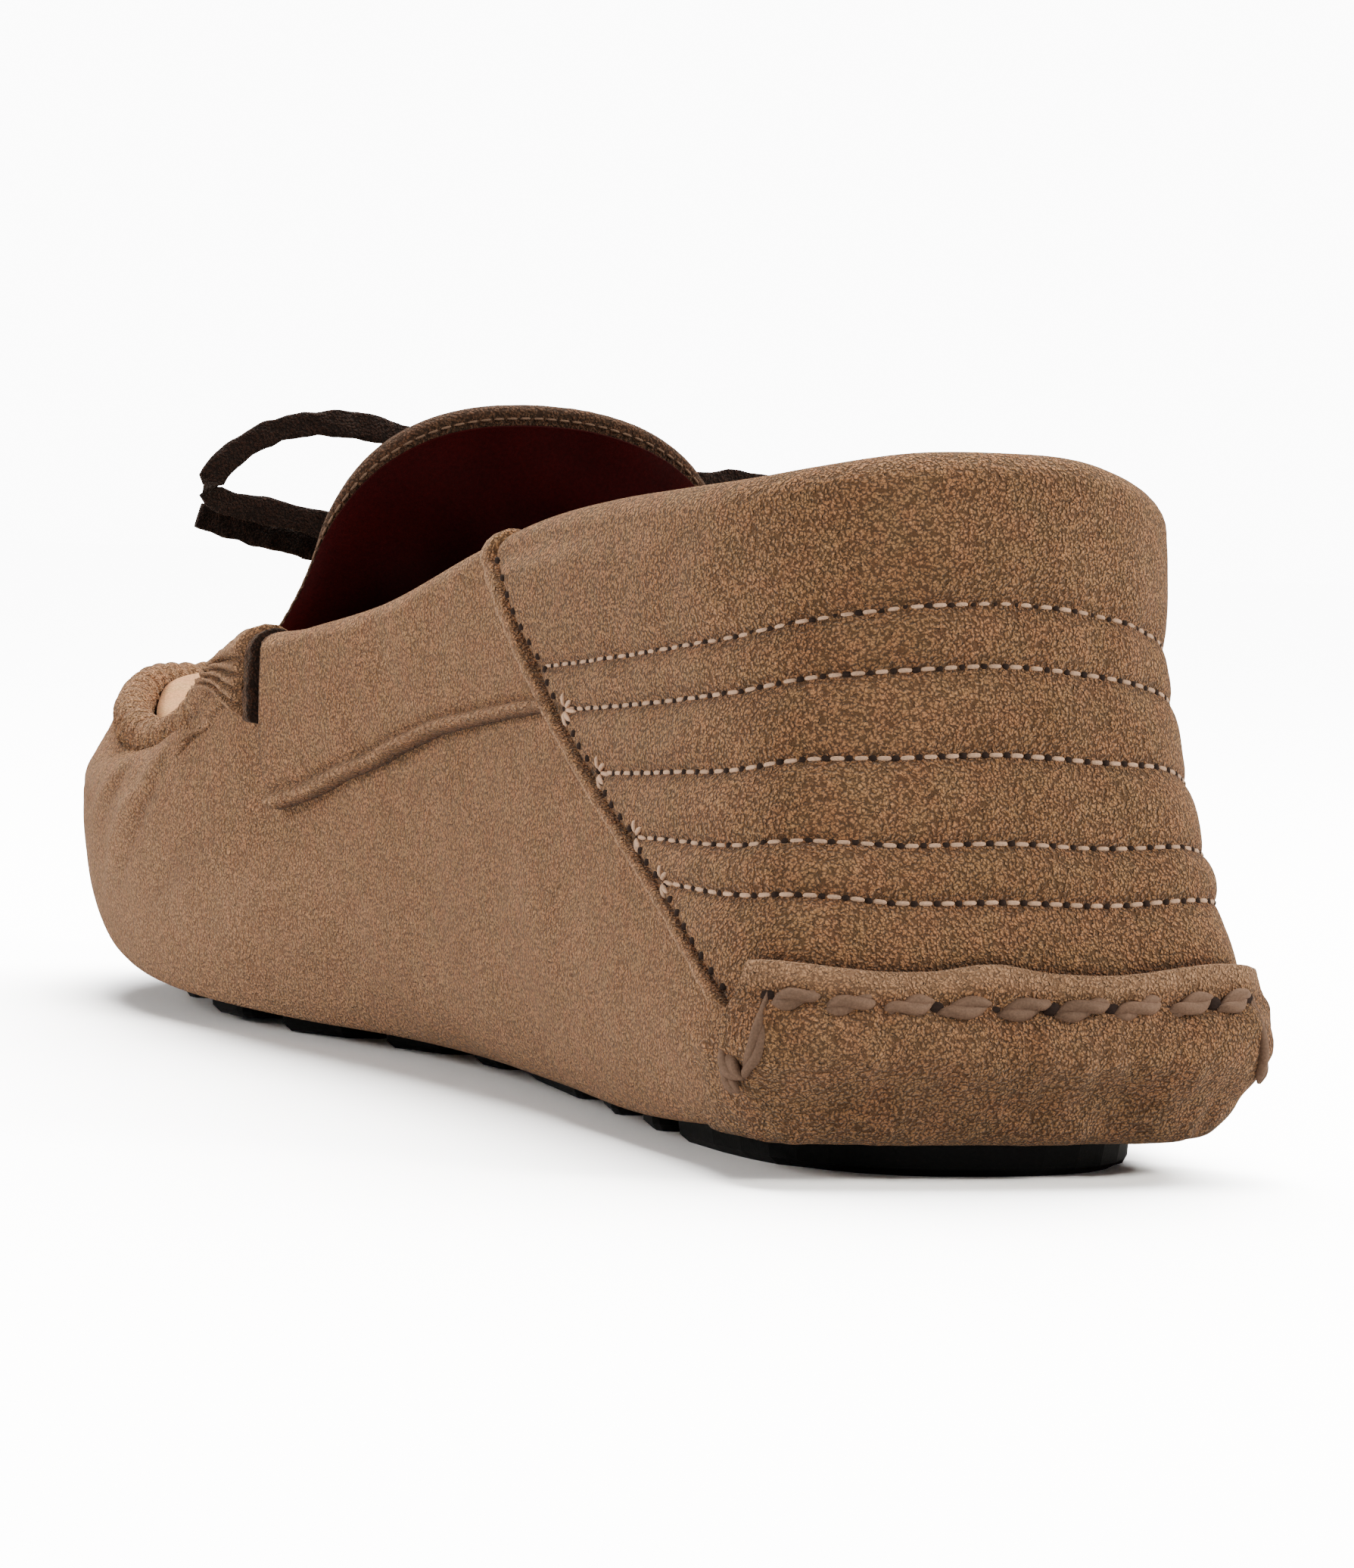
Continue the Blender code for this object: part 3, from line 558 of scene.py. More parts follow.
# Tongue, the same sheet as the CAD part's
tongue = {
    "height": 34 * mm, "thickness": 2.4 * mm, "tuck": 0.5, "bend": 11 * mm, "step": 6 * mm, "lean": 0.4,
    "skew": -3 * mm, "crown": 8.5 * mm, "crownToe": 0.8 * mm, "lipWidth": 4.2 * mm,
    "wave": 0.25 * mm, "edge": 1.1 * mm, "inset": 0.032, "stitch": 1.9 * mm, "thread": 0.36 * mm,
}
TongueRow = namedtuple("TongueRow", "foot across rise")
tongueRows = np.array([
    TongueRow(0.00, 0.000, 1.00), TongueRow(0.14, 0.190, 0.985), TongueRow(0.28, 0.370, 0.91),
    TongueRow(0.40, 0.520, 0.76), TongueRow(0.51, 0.610, 0.54), TongueRow(0.60, 0.640, 0.32),
    TongueRow(0.67, 0.690, 0.14), TongueRow(0.71, 0.740, 0.03),
])


def apronTop(u, s):
    u, s = together(u, s)
    reach = tongue["lipWidth"] + shoe["gap"]
    inner = ringAt(collarRing, u) + planInward(collarRing, u) * reach
    outer = ringAt(collarRing, turn - u) + planInward(collarRing, turn - u) * reach
    share = np.clip((lastRow - u) / (lastRow - shoe["throatTurn"]), 0, None)
    crown = tongue["crownToe"] + (tongue["crown"] - tongue["crownToe"]) * share ** 1.5
    point = inner + (outer - inner) * s[..., None]
    point[..., 2] += crown * 4 * s * (1 - s)
    return point


# Middle of the tongue. Place runs from the medial edge (-1) to the lateral (1).
def tonguePoint(place, climb):
    place, climb = together(place, climb)
    share = np.abs(place)
    side = np.where(place < 0, -1, 1)
    at = share * (len(tongueRows) - 1)
    row = np.stack([sum(np.interp(at + shift, np.arange(len(tongueRows)), tongueRows[:, k]) for shift in (
        -0.4, -0.2, 0, 0.2, 0.4)) / 5 for k in range(3)], -1)
    half = shoe["ballWidth"] / 2
    left, right = apronTop(shoe["throatTurn"], 0.0), apronTop(shoe["throatTurn"], 1.0)
    s = (side * row[..., 0] * half - left[0]) / (right[0] - left[0])
    under = np.array([0, 0, -shoe["apron"] - shoe["gap"] - tongue["thickness"] * 0.6])
    root = apronTop(shoe["throatTurn"] + tongue["tuck"], s) + under
    bend = apronTop(shoe["throatTurn"], s) + under - np.array([0, tongue["bend"], 0])
    corner = ringAt(collarRing, 10.0)
    tip = np.stack([
        side * row[..., 1] * half + tongue["skew"] * (1 - share),
        corner[1] + tongue["step"] - tongue["lean"] * row[..., 2] * tongue["height"],
        corner[2] + row[..., 2] * tongue["height"],
    ], -1)
    c = climb[..., None]
    return (1 - c) ** 2 * root + 2 * (1 - c) * c * bend + c * c * tip


def tongueFace(place, climb, distance):
    place, climb = together(place, climb)
    step = 0.02
    right, left = np.minimum(place + step, 1), np.maximum(place - step, -1)
    above, below = np.minimum(climb + step, 1), np.maximum(climb - step, 0)
    normal = unit(np.cross(tonguePoint(right, climb) - tonguePoint(left, climb),
                           tonguePoint(place, above) - tonguePoint(place, below)))
    return tonguePoint(place, climb) - np.asarray(distance, float)[..., None] * normal


# Lace. The routes are the CAD part's, in millimetres from the knot.
lace = {"width": 3.6 * mm, "thickness": 1.1 * mm, "barThickness": 1.8 * mm, "knot": 6.4 * mm, "climb": 0.5,
        "turnWidth": 4.6 * mm, "turnThickness": 2.2 * mm, "paleEdge": 0.22}
knotRoute = [(-5, 0, 0), (-2.5, 0.8, 0.6), (0, 1.2, 0.8), (2.5, 0.8, 0.6), (5, 0, 0)]
loopMedialRoute = [
    (-2.6, 1.0, 4.2), (-4.2, 1.4, 9), (-6.5, 1.8, 14), (-10, 2.2, 18.2), (-15, 2.6, 20.8),
    (-21, 3.0, 22), (-27, 3.3, 22), (-32.5, 3.5, 20.8), (-37, 3.6, 18.4), (-40.6, 3.6, 15.2),
    (-41.6, 3.6, 12.2), (-39, 3.5, 10.6), (-34, 3.3, 9.8), (-28, 3.0, 8.7), (-22, 2.6, 7.4),
    (-16.5, 2.2, 5.8), (-12, 1.8, 4.0), (-8.2, 1.4, 2.4),
]
loopLateralRoute = [
    (2.6, 1.0, 4.3), (4.2, 1.4, 7.6), (9, 2.2, 10.8), (17, 2.8, 12.8), (24, 3.4, 14.6),
    (31, 4.0, 15.7), (38, 4.5, 16.0), (44, 5.0, 14.8), (48, 5.3, 11.6), (48.6, 5.4, 7.6),
    (45.4, 5.2, 4.6), (40, 4.8, 3.4), (33, 4.2, 3.0), (26, 3.6, 2.8), (19, 2.9, 2.4),
    (13, 2.2, 1.9), (8.4, 1.4, 1.4),
]
endMedialRoute = [
    (-7.0, 3.0, -0.6), (-11.5, 4.6, 0.8), (-16.5, 5.4, 2.4), (-22, 5.6, 4.0), (-28, 5.7, 5.4),
    (-34, 5.8, 6.6), (-39, 5.9, 7.8), (-42.4, 6.0, 8.8),
]
endLateralRoute = [
    (6.0, 2.7, -1.1), (11.0, 5.9, -2.5), (16.5, 9.2, -4.0), (22.5, 11.6, -5.4), (29, 13.4, -7.0),
    (35, 14.6, -9.0), (40, 15.2, -11.2),
]
knotPlace = tongueFace(0.0, lace["climb"], (
    tongue["thickness"] / 2 + 2 * shoe["gap"] + lace["barThickness"] + lace["knot"] / 2))


# Flat strip of leather along a line. Ways are the directions of its width.
def stripObject(name, line, width, thickness, material, ways, seed):
    along = unit(np.gradient(line, axis=0))
    ways = unit(ways - (ways * along).sum(1)[:, None] * along)
    flat = np.cross(along, ways)
    corner = 0.32
    ring = np.linspace(0, 2 * np.pi, 20, endpoint=False) + 0.1
    across = np.sign(np.cos(ring)) * np.abs(np.cos(ring)) ** corner
    out = np.sign(np.sin(ring)) * np.abs(np.sin(ring)) ** 0.6
    rough = 1 + 0.05 * softNoise(line, 3 * mm, seed)[:, None]
    rim = line[:, None] + ways[:, None] * (across * width / 2)[None, :, None] * rough[..., None]
    rim = rim + flat[:, None] * (out * thickness / 2)[None, :, None]
    rim = rim + flat[:, None] * (0.12 * mm * softNoise(rim, 1.6 * mm, seed + 1))[..., None]
    rings = closedEnds(rim)
    # Paler along the strip's long edges
    paleAndPaintedHighlight = np.broadcast_to(np.abs(across) > 0.93, rings.shape[:2]) * lace["paleEdge"]
    return tubeObject(name, rings, material, {"paleAndPaintedHighlight": paleAndPaintedHighlight.ravel(), "shade": 0.0})


# Way of a strip's width along its length, by rows of a share of the length and a way
def widthWays(line, bend):
    share = np.linspace(0, 1, len(line))
    places = [row[0] for row in bend]
    return np.stack([np.interp(share, places, [row[1][k] for row in bend]) for k in range(3)], 1)


def freeLace(name, route, bend, seed):
    line = smoothPath(np.array(route) * mm, 0.8 * mm) + knotPlace
    ways = widthWays(line, bend)
    piece = stripObject(name, line, lace["width"], lace["thickness"], laceLeather, ways, seed)
    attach(piece, "root")
    return piece


def makeLace():
    knotLine = smoothPath(np.array(knotRoute) * mm, 0.5 * mm) + knotPlace
    parts = []
    for i, (shift, tilt) in enumerate((((0, 0, 0.6), 0.35), ((0, -1.0, -0.8), -0.3), ((0, 0.9, 0.1), 0.1))):
        line = knotLine + np.array(shift) * mm
        ways = np.broadcast_to(np.array([tilt, 0.1, 1.0]), line.shape)
        parts.append(stripObject(f"knotTurn{i}", line, lace["turnWidth"], lace["turnThickness"], laceLeather,
                                 ways, 50 + i))
    bpy.ops.object.select_all(action="DESELECT")
    for part in parts:
        part.select_set(True)
    bpy.context.view_layer.objects.active = parts[0]
    bpy.ops.object.join()
    knot = parts[0]
    knot.name = "laceKnot"
    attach(knot, "root")
    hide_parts("lace_knot")
    standing = [(0.0, (0.6, 0.2, 0.5)), (0.2, (0.5, 0.3, 0.8)), (0.5, (0.1, 0.1, 1)), (1.0, (0.0, 0.1, 1))]
    loop = freeLace("laceLoopMedial", loopMedialRoute, standing, 60)
    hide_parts("lace_loop_medial")
    loop = freeLace("laceLoopLateral", loopLateralRoute, standing, 61)
    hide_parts("lace_loop_lateral")
    resting = [(0.0, (0, 0.2, 1)), (1.0, (0.1, 0.1, 1))]
    end = freeLace("laceEndMedial", endMedialRoute, resting, 62)
    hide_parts("lace_end_medial")
    end = freeLace("laceEndLateral", endLateralRoute, resting, 63)
    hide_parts("lace_end_lateral")
    near = tongue["thickness"] / 2 + shoe["gap"]
    middle = near + lace["barThickness"] / 2
    places = np.linspace(-0.36, 0.36, 60)
    dip = -1.6 * mm * smoothStep(0.30, 0.36, np.abs(places))
    line = tongueFace(places, lace["climb"], middle + dip)
    ways = tongueFace(places, lace["climb"] + 0.05, middle) - tongueFace(places, lace["climb"] - 0.05, middle)
    bar = stripObject("laceBar", line, lace["width"], lace["thickness"], laceLeather, ways, 64)
    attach(bar, "root")
    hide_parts("lace_bar")


makeLace()
print("laces made")


# Joined short rods with round ends, one for each stitch
def capsules(name, places, ways, lengths, thickness, material, normals, squash=1.0):
    sides, rings = 8, 7
    a = np.linspace(0, 2 * np.pi, sides, endpoint=False)
    k = np.linspace(-1, 1, rings)
    points, quads = [], []
    for place, way, long, normal in zip(places, ways, lengths, normals):
        across = unit(np.cross(normal, way))
        x = k * long / 2
        r = thickness / 2 * np.sqrt(np.clip(1 - np.abs(k) ** 4, 0.04, 1))
        bow = -0.25 * thickness * k ** 2
        ring = (x[:, None, None] * way + (r[:, None] * np.cos(a))[..., None] * across
                + (r[:, None] * np.sin(a) * squash + bow[:, None])[..., None] * normal)
        ring = closedEnds(ring) + place
        quads.append(gridQuads(rings + 2, sides, closedColumns=True, start=len(points) * (rings + 2) * sides))
        points.append(ring.reshape(-1, 3))
    return meshObject(name, np.concatenate(points), np.concatenate(quads), material)


# Middle, way, length and normal of each stitch, and the places of the holes between them
def stitchesAlong(line, normals, pitch, share):
    gone = lineLengths(line)
    count = max(1, int(round(gone[-1] / pitch)))
    pitch = gone[-1] / count
    starts = (np.arange(count) + 0.5 * (1 - share)) * pitch
    ends = starts + share * pitch
    holes = np.arange(1, count) * pitch

    def at(values, places):
        return np.stack([np.interp(places, gone, values[:, k]) for k in range(3)], 1)

    a, b = at(line, starts), at(line, ends)
    turned = unit(at(normals, (starts + ends) / 2))
    long = np.linalg.norm(b - a, axis=1)
    return (a + b) / 2, unit(b - a), long, turned, at(line, holes), unit(at(normals, holes))


# How far the rim of the shell stands below the table's top row, by what lies on it
rim = {"counter": 1.5 * mm, "pad": 1.3 * mm, "panel": 1.4 * mm}


def rimCover(u):
    side = sideRow(u)
    pad = rim["pad"] * (1 - smoothStep(3.0, 6.7, side))
    onCounter = 1 - smoothStep(6.6, 6.8, side)
    return (onCounter * (rim["counter"] + pad) + (1 - onCounter) * rim["panel"]) * (1 - foreShare(u))


# Level at which the sides start to turn over the rim
def rollTurn(u):
    return 1 - (shoe["wall"] / 2 + rimCover(u)) / sideHeight(u)


# Level at which the rim starts to turn, and the ways out of the shell and up it there
def rimFrame(u):
    high = rollTurn(u)
    return high, outward(u, high), unit(skin(u, high) - skin(u, high - 0.02))


# Levels v for overRim: so many rows up the outside, over the rim and down the inside
def overSteps(share, outside, over, inside):
    v = np.concatenate([
        np.linspace(0, 1, outside), 1 + np.linspace(0, 1, over)[1:], 2 + np.linspace(0, 1, inside)[1:]])
    return np.broadcast_to(v[:, None], (len(v), share.shape[1]))


# Point of a layer over the shell. v runs up the outside (0 to 1), over the rim (1 to 2) and down
# the inside by a depth (2 to 3).
def overRim(u, v, low, distance, depth):
    u, v, low, distance = together(u, v, low, distance)
    high, normal, up = rimFrame(u)
    t = low + (high - low) * np.clip(v, 0, 1)
    outer = layer(u, t, distance)
    centre = skin(u, high) - shoe["wall"] / 2 * normal
    angle = np.clip(v - 1, 0, 1) * np.pi
    radius = (shoe["wall"] / 2 + distance)[..., None]
    arc = centre + radius * (np.cos(angle)[..., None] * normal + np.sin(angle)[..., None] * up)
    tInside = high - depth * np.clip(v - 2, 0, 1) / sideHeight(u)
    inside = layer(u, tInside, -shoe["wall"] - distance * (1 - 0.75 * smoothStep(0, 1, np.clip(v - 2, 0, 1))))
    return np.where((v <= 1)[..., None], outer, np.where((v <= 2)[..., None], arc, inside))


# Places round the shoe at even steps
def evenTurns(count, level=0.35):
    dense = np.linspace(0, turn, 2000)
    line = skin(dense, level)
    gone = lineLengths(line)
    return np.interp(np.linspace(0, gone[-1], count, endpoint=False), gone, dense)


# Creases, by row and level, with a width and a height in millimetres (a valley is below zero)
Crease = namedtuple("Crease", "points width height")
creaseRows = [
    Crease([(10.48, 0.42), (10.50, 0.20), (10.80, -0.02), (11.15, -0.25), (11.33, -0.45)], 1.7, 0.75),
    Crease([(10.30, 0.34), (10.36, 0.12), (10.66, -0.12), (10.98, -0.35)], 1.3, -0.75),
    Crease([(11.15, 0.40), (11.25, 0.10), (11.55, -0.10)], 1.6, 0.40),
    Crease([(10.98, 0.40), (11.05, 0.12), (11.32, -0.10)], 1.2, -0.40),
    Crease([(11.85, 0.45), (11.90, 0.15), (12.15, -0.05)], 1.6, -0.30),
    Crease([(12.60, 0.50), (12.65, 0.15), (12.80, -0.05)], 1.6, 0.25),
    Crease([(9.30, 0.05), (9.80, -0.10), (10.40, -0.35)], 2.6, -0.45),
    Crease([(8.20, 0.02), (8.90, -0.15), (9.50, -0.45)], 3.2, 0.40),
    Crease([(21.50, 0.42), (21.45, 0.15), (21.10, -0.10), (20.85, -0.35)], 1.7, 0.60),
    Crease([(21.72, 0.34), (21.62, 0.10), (21.35, -0.15)], 1.4, -0.60),
    Crease([(20.80, 0.40), (20.70, 0.10), (20.40, -0.12)], 1.6, -0.35),
    Crease([(19.90, 0.45), (19.85, 0.10)], 1.8, 0.25),
]


def creaseHeight(points, rows):
    total = np.zeros(points.shape[:-1])
    for row in rows:
        table = np.array(row.points)
        line = skin(*smoothPath(np.column_stack([table, 0 * table[:, 0]]), 0.12)[:, :2].T)
        gone, share = toLines(points, [line])
        fade = np.sin(np.clip(share, 0.02, 0.98) * np.pi) ** 0.6
        total += row.height * mm * fade * np.exp(-(gone / (row.width * mm)) ** 2)
    return total


# The wrap: bottom, sides and toe
wrap = {"columns": 620, "bottomRows": 10, "lowRows": 28, "highRows": 62, "suede": 1.3 * mm, "soft": 0.20 * mm,
        "gathers": 0.34 * mm, "sag": 1.9 * mm}


# How strongly the wrap is gathered below the toe seam
def gatherShare(u, t):
    return foreShare(u) * smoothStep(0.45, 1.0, t)


def makeWrap():
    u = evenTurns(wrap["columns"])[None, :]
    low = np.linspace(-1, 0, wrap["lowRows"], endpoint=False)[:, None]
    t = np.concatenate([np.broadcast_to(low, (len(low), u.shape[1])),
                        rollTurn(u) * np.linspace(0, 1, wrap["highRows"])[:, None]])
    base = skin(u, t)
    shape = wrap["soft"] * softNoise(base, 26 * mm, 1) + 0.4 * wrap["soft"] * softNoise(base, 9 * mm, 2)
    shape = shape * smoothStep(-1.0, -0.6, t)
    shape = shape + creaseHeight(base, creaseRows)
    dense = np.linspace(0, turn, 2000)
    along = np.interp(u, dense, lineLengths(skin(dense, 0.8)))
    wobble = 0.8 * mm * softNoise(base, 14 * mm, 3)
    ripple = np.sin((along + wobble) * 2 * np.pi / (3.4 * mm))
    shape = shape + wrap["gathers"] * gatherShare(u, t) * ripple
    outer = base + shape[..., None] * outward(u, t)
    outer[..., 2] -= wrap["sag"] * np.exp(-((t + 1) / 0.45) ** 2) * (
        smoothStep(2.5, 5.5, sideRow(u)) - 0.75 * smoothStep(11.5, 13.5, sideRow(u)))
    high, normal, up = rimFrame(u)
    angle = np.linspace(0, np.pi, 8)[1:-1, None, None]
    half = wrap["suede"] / 2
    centre = outer[-1:] - half * normal
    arc = centre + half * (np.cos(angle) * normal + np.sin(angle) * up)
    inner = np.concatenate([layer(u, high * s, -wrap["suede"]) for s in (1, 0.8, 0.6, 0.4, 0.2, 0)]
                           + [layer(u, s, -wrap["suede"]) for s in (-0.2, -0.4, -0.6, -0.8, -1.0)])
    middle = footMiddle(u)
    share = np.linspace(1, 0, wrap["bottomRows"] + 1)[:-1, None, None]
    flat = skin(u, -1.0)
    bottom = middle + (flat - middle) * (1 - share)
    bottom[..., 2] += (outer[0, :, 2] - flat[0, :, 2])[None, :] * smoothStep(0.86, 1.0, 1 - share[..., 0])
    lid = inner[-1:]
    lidMiddle = middle + np.array([0, 0, wrap["suede"]])
    top = lidMiddle + (lid - lidMiddle) * share
    grid = np.concatenate([bottom, outer, arc, inner[:-1], top, lidMiddle])
    # Painted shade in the valleys of the creases and gathers and under the toe seam; painted highlight on
    # raised creases and gather crests, and a plainly paler tone towards the bottom
    crease = np.clip(-creaseHeight(base, [r for r in creaseRows if r.height < 0]) / (0.8 * mm), 0, 1)
    shade = np.zeros(grid.shape[:2])
    rows = slice(len(bottom), len(bottom) + len(outer))
    shade[rows] = 0.5 * crease + gatherShare(u, t) * np.clip(-ripple, 0, 1) * 0.18
    shade[rows] += foreShare(u) * smoothStep(0.86, 0.97, t) * 0.75
    paleAndPaintedHighlight = np.zeros(grid.shape[:2])
    lowPart = 1 - smoothStep(-0.45, 0.45, t)
    paleAndPaintedHighlight[rows] = 0.45 * lowPart * (0.3 + 0.7 * smoothStep(6, 12, sideRow(u)))
    paleAndPaintedHighlight[rows] += 0.10 * gatherShare(u, t) * np.clip(ripple, 0, 1) + 0.25 * np.clip(creaseHeight(
        base, [r for r in creaseRows if r.height > 0]) / (0.8 * mm), 0, 1)
    piece = tubeObject("wrap", grid, suede, {"shade": shade.ravel(), "paleAndPaintedHighlight": paleAndPaintedHighlight.ravel()})
    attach(piece, "root")
    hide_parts("upper")


# Leather lining inside the wrap
lining = {"columns": 360, "lowRows": 12, "highRows": 36, "gap": 0.1 * mm}


def makeLining():
    u = evenTurns(lining["columns"])[None, :]
    high, normal, up = rimFrame(u)
    near, far = wrap["suede"] + lining["gap"], shoe["wall"]
    lowLevels = np.linspace(-1, 0, lining["lowRows"], endpoint=False)
    levels = np.concatenate([lowLevels, np.linspace(0, 1, lining["highRows"])])[:, None]
    level = np.where(levels > 0, high * levels, levels)
    outside = layer(u, level, -near)
    inside = layer(u, level, -far)
    angle = np.linspace(0, np.pi, 6)[1:-1, None, None]
    centre = (outside[-1:] + inside[-1:]) / 2
    half = (far - near) / 2
    arc = centre + half * (np.cos(angle) * normal + np.sin(angle) * up)
    middle = footMiddle(u)
    lowMiddle = middle + np.array([0, 0, near])
    highMiddle = middle + np.array([0, 0, far])
    share = np.linspace(0, 1, 6, endpoint=False)[:, None, None]
    bottom = lowMiddle + (outside[:1] - lowMiddle) * share
    top = highMiddle + (inside[:1] - highMiddle) * (1 - np.linspace(0, 1, 7)[1:, None, None])
    grid = np.concatenate([bottom, outside, arc, inside[::-1], top])
    piece = tubeObject("lining", grid, liningLeather)
    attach(piece, "root")


makeWrap()
makeLining()
print("wrap and lining made")

# The gathered seam that runs round the toe and up to the throat
roll = {
    "start": 9.80, "columns": 820, "sides": 44, "width": 2.6 * mm, "up": 3.0 * mm, "down": 3.4 * mm,
    "inward": 1.6 * mm, "pucker": 0.30 * mm, "pitch": 1.25 * mm, "climbWidth": 1.3 * mm,
    "climbDown": 5.0 * mm, "climbUp": -0.6 * mm, "folds": 0.75 * mm, "lifted": 2.2 * mm, "shift": 0.9 * mm,
    "knots": 240, "waves": 4.1 * mm, "waveDepth": 0.20 * mm,
}


def makeToeSeam():
    u = np.linspace(roll["start"], turn - roll["start"], roll["columns"])
    top = skin(u, 1.0)
    gone = lineLengths(top)
    even = np.linspace(0, gone[-1], roll["columns"])
    u = np.interp(even, gone, u)
    top = skin(u, 1.0)
    inward = planInward(collarRing, u)
    side = sideRow(u)
    full = smoothStep(roll["start"] - 0.35, roll["start"] + 0.25, side)
    climb = 1 - smoothStep(10.3, 11.5, side)
    medial = u < lastRow
    gathered = np.where(medial, 1.5, 0.8) * (1 - 0.7 * smoothStep(13.5, 15.0, side))
    rng = np.random.default_rng(7)
    knots = np.linspace(0, even[-1], roll["knots"])
    phase = np.cumsum(1 + 0.45 * np.interp(even, knots, rng.normal(size=roll["knots"])).clip(-1.6, 1.6))
    phase = phase / phase[-1] * even[-1] / roll["pitch"] * 2 * np.pi
    depth = np.interp(even, knots, rng.uniform(0.35, 1.3, roll["knots"]))
    wide = even / roll["waves"] * 2 * np.pi + 1.6 * np.sin(even / (13 * mm))
    angle = np.linspace(0, 2 * np.pi, roll["sides"], endpoint=False)
    upward = np.sin(angle)
    fine = roll["pucker"] * gathered * depth * (1 - climb)
    low = 0.35 + 0.65 * np.clip(0.6 - upward, 0, 1)
    bump = fine[:, None] * low[None, :] * (np.sin(phase[:, None] + 0.9 * angle[None, :]) - 0.2)
    bump = bump + roll["waveDepth"] * (np.sin(wide) * (1 - climb))[:, None]
    strands = np.abs(np.sin(4.6 * angle[None, :] + 0.06 * even[:, None] / mm)) - 0.5
    bump = bump + roll["folds"] * climb[:, None] * strands
    reach = ((roll["width"] + roll["climbWidth"] * climb) * full)[:, None] + bump
    down = (roll["down"] + roll["climbDown"] * climb) * full
    above = (roll["up"] + roll["climbUp"] * climb) * full
    tall = np.where(upward[None, :] > 0, above[:, None], down[:, None]) + bump
    lifted = smoothStep(10.2, 10.9, side) * (1 - smoothStep(12.6, 14.0, side))
    shift = (roll["inward"] - roll["shift"] * lifted) * full + shoe["wall"] / 2 * (1 - full)
    centre = top + inward * shift[:, None]
    centre[:, 2] += roll["lifted"] * lifted - 0.4 * mm
    ringPoints = centre[:, None] - inward[:, None] * (reach * np.cos(angle))[..., None]
    ringPoints[..., 2] += tall * upward
    grid = closedEnds(ringPoints)
    # Painted shade in the pucker valleys and on the roll's underside; painted highlight on pucker crests that
    # face up
    shade = np.clip(-bump / (0.30 * mm), 0, 1) * (0.30 + 0.40 * climb[:, None])
    shade = shade + smoothStep(0.55, 0.98, -upward)[None, :]
    paleAndPaintedHighlight = np.clip(bump / (0.3 * mm), 0, 1) * 0.40 * np.clip(upward + 0.5, 0, 1)[None, :]
    marks = {"shade": np.concatenate([shade[:1], shade, shade[-1:]]).ravel(),
             "paleAndPaintedHighlight": np.concatenate([paleAndPaintedHighlight[:1], paleAndPaintedHighlight, paleAndPaintedHighlight[-1:]]).ravel()}
    piece = tubeObject("toeSeam", grid, suede, marks)
    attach(piece, "root")


# Folds at the ends of the toe seam, where its fullness is pressed together beside the throat
pleats = {
    "reach": 1.35, "folds": 4.5, "depth": 1.6 * mm, "rise": 2.2 * mm, "top": 0.97, "tuck": 5 * mm,
    "lowEdge": ((0, 0.25, 0.6, 1), (0.585, 0.62, 0.73, 0.84)), "endRound": 2.2 * mm, "lowRound": 2.5 * mm,
}


def makePleats(name, side):
    share = edgeShares(60, 0.05, 4)[None, :]
    level = overSteps(share, 70, 8, 4)
    low = np.interp(share, *pleats["lowEdge"])
    t = low + (pleats["top"] - low) * np.clip(level, 0, 1)
    u = panelFront(t) + 0.17 + (0.15 * (1 - share) + share) * pleats["reach"] * share ** 0.8
    real = u if side < 0 else turn - u
    climb = np.clip(level, 0, 1)
    bent = climb + 0.10 * np.sin(share * 4 + 1) * np.sin(climb * np.pi)
    fold = np.abs(np.sin(np.pi * pleats["folds"] * bent ** 1.1))
    gone = np.minimum(share, 1 - share) * 24 * mm
    body = roundEdge(climb * (1 - low) * sideHeight(real), pleats["lowRound"])
    body = body * (0.35 + 0.65 * roundEdge(gone, pleats["endRound"]))
    distance = body * (pleats["rise"] + pleats["depth"] * (fold - 0.4) * (1 - 0.45 * share)) + 0.2 * mm
    distance = distance + 0.12 * mm * softNoise(skin(real, t), 3 * mm, 71)
    front = overRim(real, level, low, distance, pleats["tuck"])
    back = overRim(real, level, low, 0.05 * mm, pleats["tuck"])
    # Painted shade in the fold valleys and along the low edge; painted highlight on the fold crests
    shade = 0.45 * np.clip(0.40 - fold, 0, 1) / 0.40 + 0.5 * (1 - smoothStep(0.0, 0.05, climb))
    paleAndPaintedHighlight = 0.9 * np.clip(fold - 0.45, 0, 1)
    piece = sheetObject(name, front, back, suede, {"shade": shade, "paleAndPaintedHighlight": paleAndPaintedHighlight})
    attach(piece, "root")


makePleats("pleatsMedial", -1)
makePleats("pleatsLateral", 1)


# The plug over the toes
plug = {"end": 0.12, "crown": 0.9 * mm, "round": 3 * mm, "soft": 0.25 * mm, "shade": 1.6 * mm}


def makeApron():
    stations = shoe["throatTurn"] + (lastRow - plug["end"] - shoe["throatTurn"]) * edgeShares(110)
    s = edgeShares(80)[None, :]
    u = stations[:, None]
    front = apronTop(u, s)
    inner = apronTop(u, 0.0), apronTop(u, 1.0)
    wide = np.linalg.norm(inner[1] - inner[0], axis=-1)
    gone = np.minimum(s, 1 - s) * wide
    crown = plug["crown"] * roundEdge(gone + 0.2 * mm, plug["round"])
    front[..., 2] += crown + plug["soft"] * softNoise(front, 12 * mm, 21)
    back = apronTop(u, s) - np.array([0, 0, shoe["apron"]])
    # Painted shade in the crease round the plug's edge
    shade = 0.9 * (1 - smoothStep(0.0, plug["shade"], gone))
    piece = sheetObject("toePlug", front, back, paleSuede, {"shade": shade, "paleAndPaintedHighlight": 0.0})
    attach(piece, "root")
    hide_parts("apron")


makeToeSeam()
makeApron()
print("toe seam and apron made")


def tongueWave(points):
    return tongue["wave"] * softNoise(points, 15 * mm, 31)


